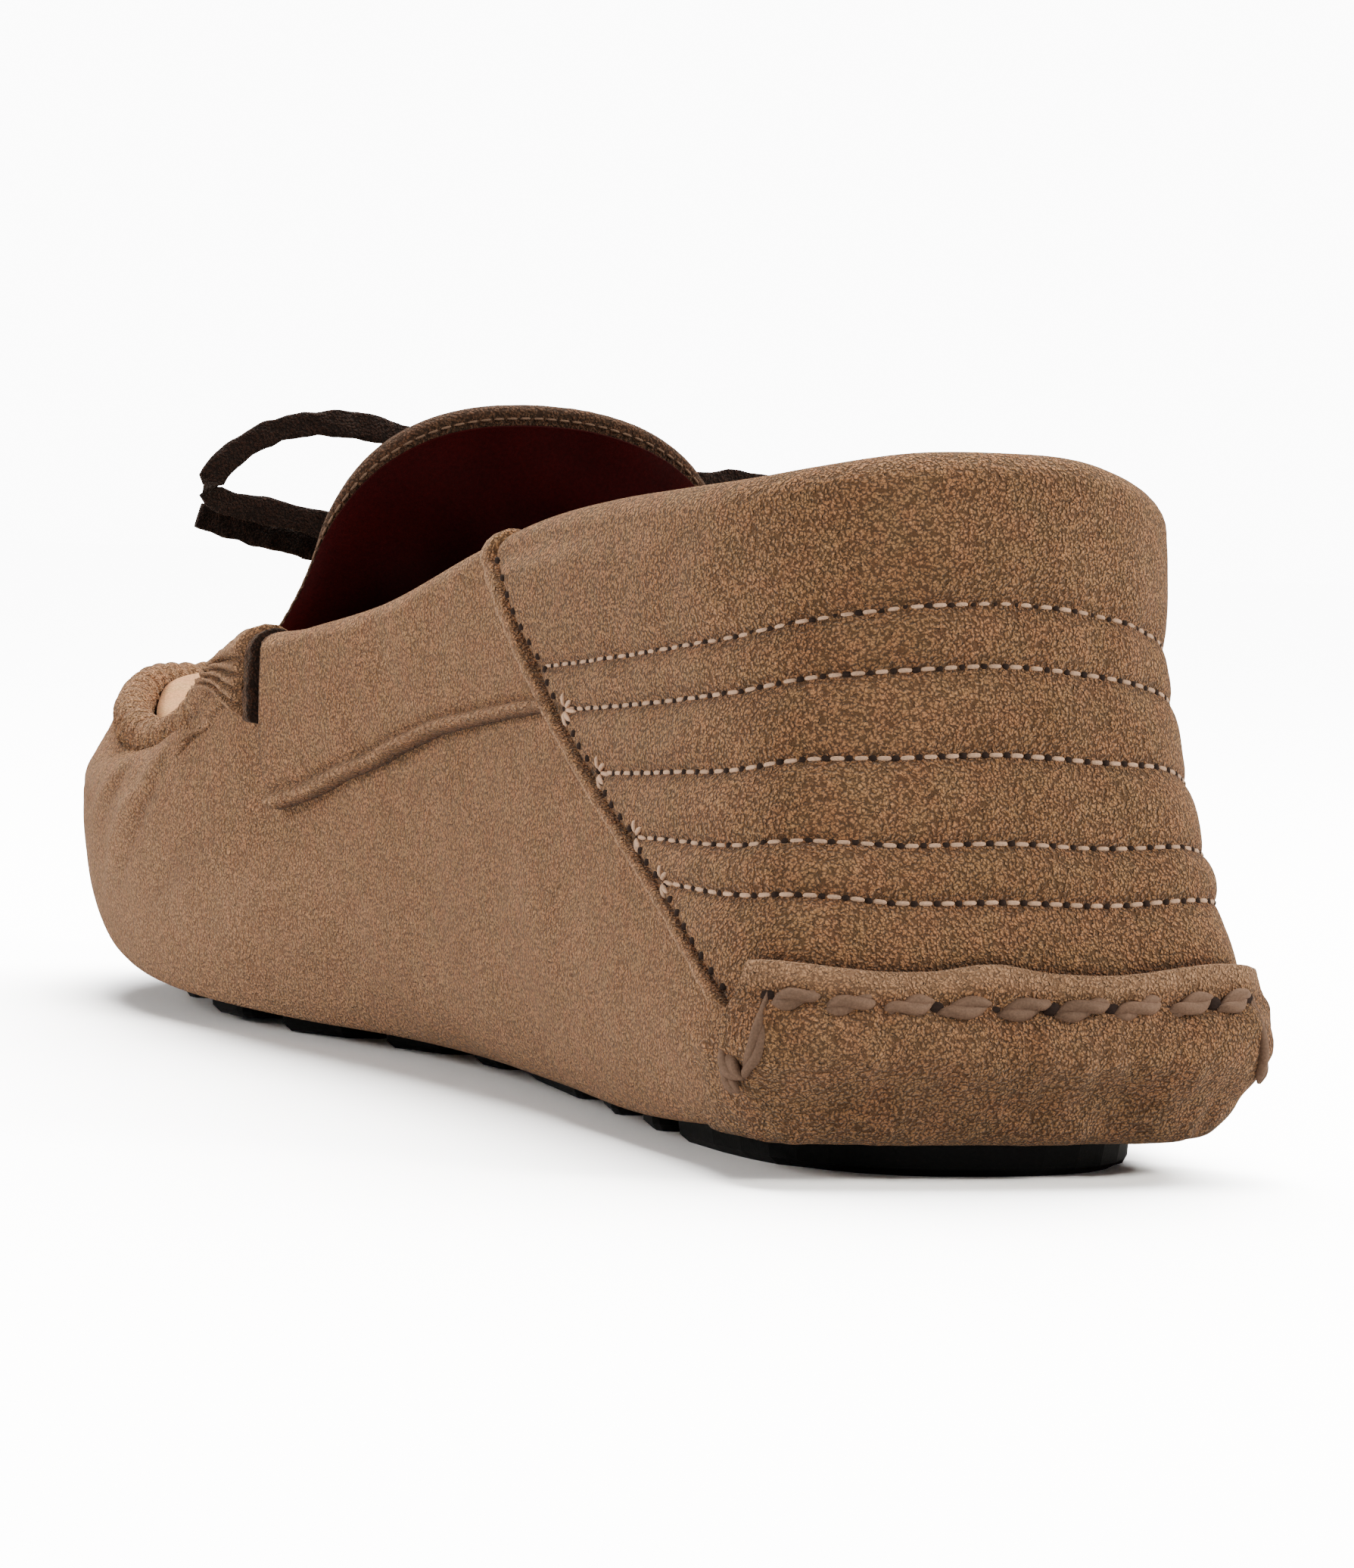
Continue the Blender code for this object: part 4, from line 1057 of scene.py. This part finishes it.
def makeTongue():
    places = 2 * edgeShares(130) - 1
    climbs = edgeShares(80)
    p, c = places[None, :], climbs[:, None]
    here = tonguePoint(p, c)
    topEdge = tonguePoint(np.linspace(-1, 1, 120), 1.0)
    sides = [tonguePoint(-1.0, np.linspace(0, 1, 60)), tonguePoint(1.0, np.linspace(0, 1, 60))]
    gone, _ = toLines(here, [topEdge, *sides])
    body = 0.15 + 0.85 * roundEdge(gone, tongue["edge"])
    wave = tongueWave(here)
    front = tongueFace(p, c, body * tongue["thickness"] / 2 + wave)
    back = tongueFace(p, c, -body * tongue["thickness"] / 2 + wave)
    # Paler along the tongue's edges
    paleAndPaintedHighlight = 0.28 * (1 - smoothStep(0.0, 0.8 * mm, gone))
    piece = sheetObject("tallTongue", front, back, shadedBrownSuede, {"shade": 0.0, "paleAndPaintedHighlight": paleAndPaintedHighlight})
    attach(piece, "root")
    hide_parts("tongue")
    inset = tongue["inset"]
    p = (2 * edgeShares(100) - 1)[None, :] * (1 - inset)
    c = (edgeShares(60) * (1 - inset))[:, None]
    here = tonguePoint(p, c)
    near = tongueWave(here) - tongue["thickness"] / 2
    # Painted shade: the lining grows darker towards the bottom, deep in the shoe
    shade = 0.96 * (1 - smoothStep(0.45, 1.0, c)) + 0 * p
    piece = sheetObject("tongueLining", tongueFace(p, c, near - 0.25 * mm), tongueFace(p, c, near + 0.2 * mm),
                        liningLeather, {"shade": shade, "paleAndPaintedHighlight": 0.0})
    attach(piece, "root")
    corner = 1 - 0.6 * inset
    across = np.linspace(-corner, corner, 300)[1:-1]
    upward = np.linspace(0.2, 1, 80) * corner
    places = np.concatenate([np.full(80, -corner), across, np.full(80, corner)])
    climbs = np.concatenate([upward, np.full(len(across), corner), upward[::-1]])
    middle = tonguePoint(places, climbs)
    line = tongueFace(places, climbs, tongueWave(middle) - tongue["thickness"] / 2 - 0.05 * mm)
    middles, ways, lengths, turned = stitchesAlong(line, unit(line - middle), tongue["stitch"], 0.8)[:4]
    piece = capsules("tongueStitches", middles, ways, lengths, tongue["thread"], handThread, turned)
    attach(piece, "root")


makeTongue()
print("tongue made")

# Heel counter with its stitched rows. Each row runs from a level at the heel centre to one at
# the counter's front seam.
counterLook = {
    "rows": [(0.80, 0.68), (0.712, 0.585), (0.58, 0.45), (0.435, 0.325), (0.33, 0.25)],
    "low": 0.06, "groove": 0.75 * mm, "pillow": 1.05 * mm, "topPillow": 1.9 * mm, "depth": 7 * mm,
    "perRow": 17 * mm, "perLevel": 70 * mm, "fade": 3.5 * mm, "soft": 0.12 * mm, "rowShade": 0.9 * mm,
}


def counterRow(i, u):
    heel, front = counterLook["rows"][i]
    reach = np.abs(u) / 6.3
    return heel + (front - heel) * np.clip(reach, 0, 1.1) ** 1.6


# Height of the quilting above the counter's stitch rows, and how close the nearest row is
def counterRelief(u, t):
    u, t = together(u, t)
    rows = [counterRow(i, u) for i in range(len(counterLook["rows"]))]
    levels = [rollTurn(u) + 0.02, *rows, 0.10 + 0 * u]
    span = riseScale(u, t)
    height = np.zeros(t.shape)
    near = np.full(t.shape, 1.0)
    for i, (high, low) in enumerate(zip(levels, levels[1:])):
        f = np.clip((t - low) / (high - low), 0, 1)
        if i == 0:
            bulge = np.sqrt(np.clip(1 - (1 - np.clip(f / 0.75, 0, 1)) ** 2, 0, 1)) * counterLook["topPillow"]
        else:
            bulge = np.clip(4 * f * (1 - f), 0, 1) ** 0.55 * counterLook["pillow"]
        inside = (t >= low) & (t < high)
        height[inside] = bulge[inside]
        near = np.minimum(near, np.abs(t - low) * span)
    height[t >= levels[0]] = counterLook["topPillow"]
    return height, near


# Distance from the counter's front seam
def counterGap(u, t):
    return (counterEdge(np.clip(t, 0, 1)) - np.abs(u)) * counterLook["perRow"]


def counterDistance(u, t):
    height, _ = counterRelief(u, t)
    fade = smoothStep(0.0, counterLook["fade"], counterGap(u, t))
    uneven = counterLook["soft"] * softNoise(skin(u, t), 9 * mm, 41)
    return shoe["gap"] + counterLook["groove"] + height * (0.25 + 0.75 * fade) + uneven


def makeCounter():
    share = (2 * edgeShares(230, 0.012, 3) - 1)[None, :]
    level = overSteps(share, 120, 15, 9)
    low = counterLook["low"]
    # The level hangs on the place and the place on the level, so both are worked out twice
    u = share * counterEdge(1.0)
    for again in (True, False):
        t = low + (rollTurn(u) - low) * np.clip(level, 0, 1)
        u = share * counterEdge(np.clip(t, 0, 1)) if again else u
    blendIn = smoothStep(0.93, 1.0, level)
    distance = counterDistance(u, t) * (1 - blendIn) + rimCover(u) * blendIn
    distance = distance * (0.35 + 0.65 * roundEdge(counterGap(u, t), 0.9 * mm))
    front = overRim(u, level, low, distance, counterLook["depth"])
    back = overRim(u, level, low, shoe["gap"] * 0.5, counterLook["depth"])
    _, near = counterRelief(u, t)
    # Painted shade along the stitch rows and just above the heel flap's edge
    shade = 0.50 * bell(near, 0, counterLook["rowShade"]) * (level < 1)
    overFlap = np.clip(t - flapTop(u), 0, 1) * counterLook["perLevel"]
    shade = shade + 0.9 * bell(overFlap, 0, 1.3 * mm) * (np.abs(u) < flapEdge(t) + 0.1)
    piece = sheetObject("heelCounter", front, back, shadedCounterSuede, {"shade": shade, "paleAndPaintedHighlight": 0.0})
    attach(piece, "root")
    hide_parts("counter")


# Collar panels: strips along the foot opening, with a puckered seam along the lower edge
panelLook = {
    "top": 0.96, "depth": 6 * mm, "perRow": 15 * mm, "bead": 1.35 * mm, "beadWidth": 1.15 * mm,
    "pucker": 0.26 * mm, "pitch": 2.1 * mm, "groove": 0.50 * mm, "soft": 0.16 * mm,
}


def makeCollarPanel(name, node, side):
    share = edgeShares(150, 0.01, 3)[None, :]
    level = overSteps(share, 60, 10, 7)
    outside = level < 1
    low = panelLow(share)
    t = low + (panelLook["top"] - low) * np.clip(level, 0, 1)
    start = counterEdge(np.clip(t, 0, 1)) + 0.01
    u = start + (panelFront(np.clip(t, 0, 1)) - start) * share
    real = u if side < 0 else turn - u
    base = skin(real, t)
    climb = np.linalg.norm(np.diff(base, axis=0), axis=-1)
    gone = np.concatenate([0 * climb[:1], np.cumsum(climb, axis=0)])
    along = lineLengths(base[0])[None, :]
    ripple = np.sin(along / panelLook["pitch"] * 2 * np.pi + 1.2 * gone / mm)
    bead = panelLook["bead"] * bell(gone, 1.35 * mm, panelLook["beadWidth"], 3)
    pucker = panelLook["pucker"] * ripple * bell(gone, 1.6 * mm, 1.6 * mm)
    groove = panelLook["groove"] * bell(gone, 3.2 * mm, 0.6 * mm)
    uneven = panelLook["soft"] * softNoise(base, 13 * mm, 43)
    distance = shoe["gap"] + shoe["panel"] + bead + pucker - groove + uneven
    frontGap = (panelFront(np.clip(t, 0, 1)) - u) * panelLook["perRow"]
    distance = distance * (0.3 + 0.7 * roundEdge(gone, 0.7 * mm))
    distance = distance * (0.2 + 0.8 * roundEdge(frontGap, 0.6 * mm))
    distance = np.where(level > 1, rim["panel"], distance)
    front = overRim(real, level, low, distance, panelLook["depth"])
    back = overRim(real, level, low, shoe["gap"] * 0.5, panelLook["depth"])
    # Painted shade in the groove above the bead, under the lower edge and at the front gap; painted highlight
    # on the bead
    shade = (0.32 - 0.32 * ripple) * bell(gone, 3.0 * mm, 0.5 * mm)
    shade = shade + 0.25 * np.clip(-ripple, 0, 1) * bell(gone, 1.5 * mm, 1.2 * mm)
    shade = (shade + 1 - smoothStep(0.1 * mm, 0.5 * mm, gone)) * outside
    shade = shade + 1 - smoothStep(0.3 * mm, 0.9 * mm, frontGap)
    paleAndPaintedHighlight = 0.8 * np.clip(0.6 + ripple, 0, 1) * bell(gone, 1.5 * mm, 0.8 * mm) * outside
    piece = sheetObject(name, front, back, suede, {"shade": shade, "paleAndPaintedHighlight": paleAndPaintedHighlight})
    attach(piece, "root")
    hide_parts(node)


# Narrow strips that run up a seam and over the rim
strips = {
    "top": 0.97, "depth": 5 * mm,
    "band": {"low": 0.06, "width": 3.4 * mm, "rise": 2.5 * mm},
    "throat": {"low": 0.58, "width": 3.0 * mm, "rise": 2.2 * mm},
}


# Starts gives the strip's rear edge at each level
def makeEdgeStrip(name, side, sizes, starts, material, marks):
    low, width = sizes["low"], sizes["width"]
    share = edgeShares(24, 0.1, 4)[None, :]
    level = overSteps(share, 90, 10, 7)
    t = low + (strips["top"] - low) * np.clip(level, 0, 1)
    start = starts(t)
    perRow = np.linalg.norm(skin(start + 0.1, t) - skin(start, t), axis=-1) / 0.1
    u = start + share * width / perRow
    real = u if side < 0 else turn - u
    gone = np.minimum(share, 1 - share) * width
    endGap = (t - low) * sideHeight(real)
    distance = 0.2 + 0.8 * roundEdge(gone, 0.8 * mm)
    distance = sizes["rise"] * distance * (0.2 + 0.8 * roundEdge(endGap, 1.0 * mm))
    distance = distance + 0.08 * mm * softNoise(skin(real, t), 2.2 * mm, 45) * (level < 1)
    front = overRim(real, level, low, distance, strips["depth"])
    back = overRim(real, level, low, 0.1 * mm, strips["depth"])
    shade, paleAndPaintedHighlight = marks(share * width, level)
    piece = sheetObject(name, front, back, material, {"shade": shade, "paleAndPaintedHighlight": paleAndPaintedHighlight})
    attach(piece, "root")


# Painted shade along both edges of the band, deeper at the stitch holes, and a paler line near its fore edge
def seamBandMarks(across, level):
    holes = 0.5 + 0.5 * np.sin(level * 38 * 2 * np.pi)
    rear = bell(across, 0.15 * mm, 0.22 * mm)
    fore = smoothStep(2.95 * mm, 3.2 * mm, across)
    paleAndPaintedHighlight = 0.9 * bell(across, 2.45 * mm, 0.45 * mm) + 0 * level
    return (rear * (0.25 + 0.3 * holes) + fore * (0.55 + 0.45 * holes)) * (level < 1), paleAndPaintedHighlight


# Painted shade: a black gap along the strip's rear edge; paler near its fore edge
def throatMarks(across, level):
    gap = 1.6 * (1 - smoothStep(0.7 * mm, 1.1 * mm, across))
    return gap + 0 * level, 0.8 * smoothStep(1.9 * mm, 2.5 * mm, across) + 0 * level


def makeStrips():
    for side, word in ((-1, "Medial"), (1, "Lateral")):
        makeEdgeStrip("counterBand" + word, side, strips["band"], lambda t: counterEdge(t) - 0.06, suede,
                      seamBandMarks)
        makeEdgeStrip("throatStrip" + word, side, strips["throat"], lambda t: panelFront(t) + 0.01,
                      shadedBrownSuede, throatMarks)


# Heel flap, with the level of the hand seam that presses it in
flap = {
    "seam": 0.10, "dent": 0.55 * mm, "perRow": 15 * mm, "perLevel": 70 * mm, "round": 0.6 * mm,
    "soft": 0.22 * mm,
}


def flapEdge(t):
    return 3.35 - 0.8 * smoothStep(-0.12, 0.2, t)


# Level of the flap's cut edge
def flapTop(u):
    x = u / 2.6
    wave = 0.012 * bell(x, 0.1, 0.12) + 0.006 * np.sin(7.3 * x + 0.6)
    return 0.185 + wave - 0.02 * np.abs(x) ** 3


def makeHeelFlap():
    share = (2 * edgeShares(250, 0.01, 4) - 1)[None, :]
    rise = edgeShares(84, 0.03, 5)[:, None]
    t = -1 + (flapTop(share * 2.6) + 1) * rise
    u = share * flapEdge(t)
    base = skin(u, t)
    over = smoothStep(-0.35, 0.0, t)
    near = shoe["gap"] + over * (shoe["counter"] + shoe["gap"] + 0.3 * mm)
    topGap = (flapTop(u) - t) * flap["perLevel"]
    sideGap = (1 - np.abs(share)) * flapEdge(t) * flap["perRow"]
    fromSeam = (t - flap["seam"]) * flap["perLevel"]
    thick = shoe["flap"] * smoothStep(-1.0, -0.55, t) + 0.25 * mm
    thick = thick + 0.5 * mm * smoothStep(-0.2, 0.05, t)
    for gap in (topGap, sideGap):
        thick = thick * (0.5 + 0.5 * roundEdge(gap, flap["round"]))
    wave = flap["soft"] * softNoise(base, 10 * mm, 47) + 0.1 * mm * softNoise(base, 3.2 * mm, 48)
    dent = flap["dent"] * bell(fromSeam, 0, 1.6 * mm) * (thick > mm)
    front = layer(u, t, near + thick + wave * smoothStep(-0.9, -0.5, t) - dent)
    back = layer(u, t, near * 0.9 + 0 * thick)
    # Painted shade at the seam's dent, near the bottom and at the side edges; painted highlight along the
    # upward-facing top edge, with random paler patches
    shade = 0.35 * bell(fromSeam, 0, 1.7 * mm) + 0.14 * (1 - smoothStep(0.05, 0.12, t))
    shade = shade + 0.5 * (1 - smoothStep(0.0, 0.6 * mm, sideGap))
    paleAndPaintedHighlight = 0.75 * (1 - smoothStep(1.5 * mm, 5.0 * mm, topGap))
    paleAndPaintedHighlight = paleAndPaintedHighlight + 0.12 * np.clip(softNoise(base, 16 * mm, 49), 0, 1)
    piece = sheetObject("heelFlap", front, back, shadedCounterSuede, {"shade": shade, "paleAndPaintedHighlight": paleAndPaintedHighlight})
    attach(piece, "root")
    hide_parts("heel_flap")


makeCounter()
makeCollarPanel("collarPanelMedial", "collar_panel_medial", -1)
makeCollarPanel("collarPanelLateral", "collar_panel_lateral", 1)
makeStrips()
makeHeelFlap()
print("counter, collar panels and heel flap made")


# The sock inside the shoe, over the wrap's bottom
sock = {"columns": 200, "thickness": 2 * mm, "dip": 0.5 * mm}


def makeInsole():
    u = np.linspace(0, turn, sock["columns"], endpoint=False)
    edge = ringAt(footRing, u) + planInward(footRing, u) * shoe["insoleMargin"]
    middle = (edge + edge[-np.arange(sock["columns"])]) / 2
    low = np.array([0, 0, shoe["wall"] + shoe["gap"]])
    high = low + np.array([0, 0, sock["thickness"]])
    share = np.linspace(0, 1, 12)[:, None, None]
    under = middle + (edge - middle) * share + low
    over = middle + (edge - middle) * share[::-1] + high
    over[0] = over[0] - [0, 0, sock["dip"]]
    grid = np.concatenate([under, over])
    piece = tubeObject("sock", grid, liningLeather)
    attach(piece, "root")
    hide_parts("insole")


makeInsole()
for nodeName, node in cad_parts.items():
    if nodeName.startswith(("tread_", "heel_pad", "toe_pad")):
        node.data.materials.clear()
        node.data.materials.append(rubber)
print("insole and tread made")


# Machine stitches of the counter. A fan of short rows stands at the end of each long one.
sewn = {
    "pitch": 2.7 * mm, "share": 0.72, "thread": 0.62 * mm, "rise": 0.24 * mm, "fan": (-70, -35, 0, 35, 70),
    "fanReach": 0.155, "holeShade": 1.15 * mm, "holeWidth": 0.85 * mm,
}


def makeCounterStitches():
    sets, holes = [], []
    for i in range(len(counterLook["rows"])):
        reach = np.linspace(-1, 1, 400)
        edge = counterEdge(counterRow(i, np.full(400, 6.0))) - 0.12
        u = reach * edge
        t = counterRow(i, u)
        line = layer(u, t, counterDistance(u, t) + sewn["rise"])
        found = stitchesAlong(line, outward(u, t), sewn["pitch"], sewn["share"])
        sets.append(found[:4])
        holes.append(found[4:])
    for side in (-1, 1):
        t = np.linspace(0.08, 0.97, 300)
        u = side * (counterEdge(t) - 0.17)
        line = layer(u, t, counterDistance(u, t) + 0.10 * mm)
        holes.append(stitchesAlong(line, outward(u, t), sewn["pitch"], sewn["share"])[4:])
        for i in range(1, len(counterLook["rows"])):
            end = counterRow(i, counterEdge(counterLook["rows"][i][1]))
            edge = counterEdge(end) - 0.16
            for degrees in sewn["fan"]:
                turnBy = np.radians(degrees)
                reach = sewn["fanReach"] * np.linspace(0.15, 1, 8)
                u = side * (edge - reach * np.cos(turnBy))
                t = end + reach * 0.25 * np.sin(turnBy)
                line = layer(u, t, counterDistance(u, t) + 0.22 * mm)
                sets.append(stitchesAlong(line, outward(u, t), sewn["pitch"], 0.95)[:4])
    middles, ways, lengths, turned = (np.concatenate([part[k] for part in sets]) for k in range(4))
    piece = capsules("counterStitches", middles, ways, lengths, sewn["thread"], thread, turned)
    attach(piece, "root")
    places, normals = (np.concatenate([part[k] for part in holes]) for k in range(2))
    ways = unit(np.cross(normals, (0, 0, 1)))
    # Dark capsules at the stitch holes: painted shade where the thread goes in
    piece = capsules("counterHoleShade", places + 0.02 * mm * normals, ways, np.full(len(places), sewn["holeShade"]),
                     sewn["holeWidth"], paintedHoleShade, normals, squash=0.5)
    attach(piece, "root")


makeCounterStitches()
print("counter stitches made")

# Hand seam that holds the flap, of thick twisted stitches
handSeam = {"thickness": 2.7 * mm, "strand": 1.6 * mm, "level": flap["seam"], "reach": 2.3, "stitches": 9,
            "holeShade": 2.6 * mm, "holeWidth": 1.5 * mm}


# Two strands that wind round each other, with pointed ends, along one stitch
def twisted(line, normals, thickness, strand, seed):
    count = len(line)
    k = np.linspace(-1, 1, count)
    along = unit(np.gradient(line, axis=0))
    across = unit(np.cross(normals, along))
    taper = np.clip(1 - np.abs(k) ** 3, 0.16, 1) ** 0.7
    grids = []
    for turnBy in (0, np.pi):
        wind = turnBy + k * 2.2 + seed
        orbit = (thickness - strand) / 2 * taper
        middle = line + (orbit * np.cos(wind))[:, None] * across
        middle = middle + (0.6 * orbit * np.sin(wind))[:, None] * normals
        a = np.linspace(0, 2 * np.pi, 10, endpoint=False)
        radius = strand / 2 * taper
        ring = (middle[:, None] + (radius[:, None] * np.cos(a))[..., None] * across[:, None]
                + (radius[:, None] * np.sin(a))[..., None] * normals[:, None])
        grids.append(closedEnds(ring))
    return grids


def makeHeelStitches():
    top = 2.5 * mm + shoe["flap"]
    joins = []
    edge, seamLevel = handSeam["reach"], handSeam["level"]
    steps = np.linspace(-edge, edge, handSeam["stitches"] + 1)
    for a, b in zip(steps, steps[1:]):
        joins.append(((a + 0.012, seamLevel + 0.016), (b - 0.012, seamLevel - 0.016), 1.0))
    joins.append(((edge + 0.02, 0.11), (edge + 0.24, -0.15), 0.8))
    joins.append(((edge + 0.24, -0.16), (edge + 0.72, -0.04), 1.0))
    joins.append(((edge + 0.30, -0.24), (edge + 0.70, -0.13), 0.75))
    joins.append(((-edge - 0.02, 0.11), (-edge - 0.20, -0.17), 0.8))
    points, quads, count = [], [], 0
    for i, (first, last, size) in enumerate(joins):
        share = np.linspace(0, 1, 15)
        u = first[0] + (last[0] - first[0]) * share
        t = first[1] + (last[1] - first[1]) * share
        beyond = 0.45 * smoothStep(0.2, 0.9, np.abs(u) - edge)
        rise = top * (1 - beyond if abs(last[0]) > edge else 1.0)
        bow = 0.35 * mm * (1 - (2 * share - 1) ** 2) * size
        line = layer(u, t, rise + bow - 0.15 * mm)
        thickness, strand = handSeam["thickness"] * size, handSeam["strand"] * size
        for grid in twisted(line, outward(u, t), thickness, strand, i * 0.7):
            quads.append(gridQuads(*grid.shape[:2], closedColumns=True, start=count))
            points.append(grid.reshape(-1, 3))
            count += grid.shape[0] * grid.shape[1]
    piece = meshObject("heelStitches", np.concatenate(points), np.concatenate(quads), handThread)
    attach(piece, "root")
    holes = layer(steps, seamLevel, top - 0.1 * mm)
    normals = outward(steps, seamLevel)
    ways = unit(np.cross(normals, (0, 0, 1)))
    # Dark capsules at the stitch holes: painted shade where the thread goes in
    piece = capsules("heelHoleShade", holes, ways, np.full(len(steps), handSeam["holeShade"]), handSeam["holeWidth"],
                     paintedHoleShade, normals, squash=0.4)
    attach(piece, "root")


makeHeelStitches()
print("hand stitches made")

# Floor and light. The floor that is seen gets a lamp of its own, so that it is near white, and a
# plain one that isn't seen throws light back on the shoe.
studio = {"floor": 6.0, "white": 0.92, "bounce": 0.65, "world": 0.34, "backdrop": 11.5, "drop": 0.2 * mm}


def plane(name, corners, material):
    mesh = bpy.data.meshes.new(name)
    mesh.from_pydata(corners, [], [(0, 1, 2, 3)])
    mesh.materials.append(material)
    thing = bpy.data.objects.new(name, mesh)
    bpy.context.scene.collection.objects.link(thing)
    return thing


def plainMaterial(name, value, glow=0.0):
    material, _, shader = nodesOf(name)
    shader.inputs["Base Color"].default_value = (*grey(value), 1)
    shader.inputs["Roughness"].default_value = 1.0
    shader.inputs["Specular IOR Level"].default_value = 0.0
    shader.inputs["Emission Color"].default_value = (1, 1, 1, 1)
    shader.inputs["Emission Strength"].default_value = glow
    return material


def makeStage():
    half = studio["floor"] / 2
    corners = [(-half, -half, 0), (half, -half, 0), (half, half, 0), (-half, half, 0)]
    floor = plane("floor", corners, plainMaterial("floor", studio["white"]))
    lower = [(x, y, -studio["drop"]) for x, y, _ in corners]
    below = plane("bounceFloor", lower, plainMaterial("bounce floor", studio["bounce"]))
    upright = [(-half, half, -0.1), (half, half, -0.1), (half, half, half), (-half, half, half)]
    wall = plane("backdrop", upright, plainMaterial("backdrop", 0.0, studio["backdrop"]))
    for thing in (floor, wall):
        thing.visible_diffuse = False
        thing.visible_glossy = False
        thing.visible_shadow = False
    below.visible_camera = False
    below.visible_shadow = False
    world = bpy.data.worlds.new("world")
    world.use_nodes = True
    world.node_tree.nodes["Background"].inputs["Color"].default_value = (1, 1, 1, 1)
    world.node_tree.nodes["Background"].inputs["Strength"].default_value = studio["world"]
    bpy.context.scene.world = world
    lit = bpy.data.collections.new("shown floor")
    lit.objects.link(floor)
    return lit


Light = namedtuple("Light", "name kind place aim size power colour")
lightRows = [
    Light("top", "AREA", (0.05, 0.30, 1.00), (0, 0.02, 0.05), 0.42, 20, (1.0, 0.95, 0.88)),
    Light("left", "AREA", (-0.95, -0.10, 0.45), (0, 0, 0.04), 0.3, 8.0, (1.0, 0.96, 0.92)),
    Light("right", "AREA", (0.80, -0.55, 0.65), (0, 0, 0.04), 0.3, 14, (1.0, 0.95, 0.88)),
    Light("floorLamp", "SUN", (1.0, 1.2, 1.9), (0, 0, 0), 1.1, 48, (1.0, 1.0, 1.0)),
]


def makeLights(shownFloor):
    for row in lightRows:
        data = bpy.data.lights.new(row.name, row.kind)
        if row.kind == "SUN":
            data.angle = row.size
        else:
            data.size = row.size
        data.energy = row.power
        data.color = row.colour
        light = bpy.data.objects.new(row.name, data)
        bpy.context.scene.collection.objects.link(light)
        back = unit(np.array(row.place) - np.array(row.aim))
        right = unit(np.cross((0, 0, 1), back))
        standThing(light, right, np.cross(back, right), back, row.place)
        if row.kind == "SUN":
            light.light_linking.receiver_collection = shownFloor


makeLights(makeStage())
print("stage and lights made")
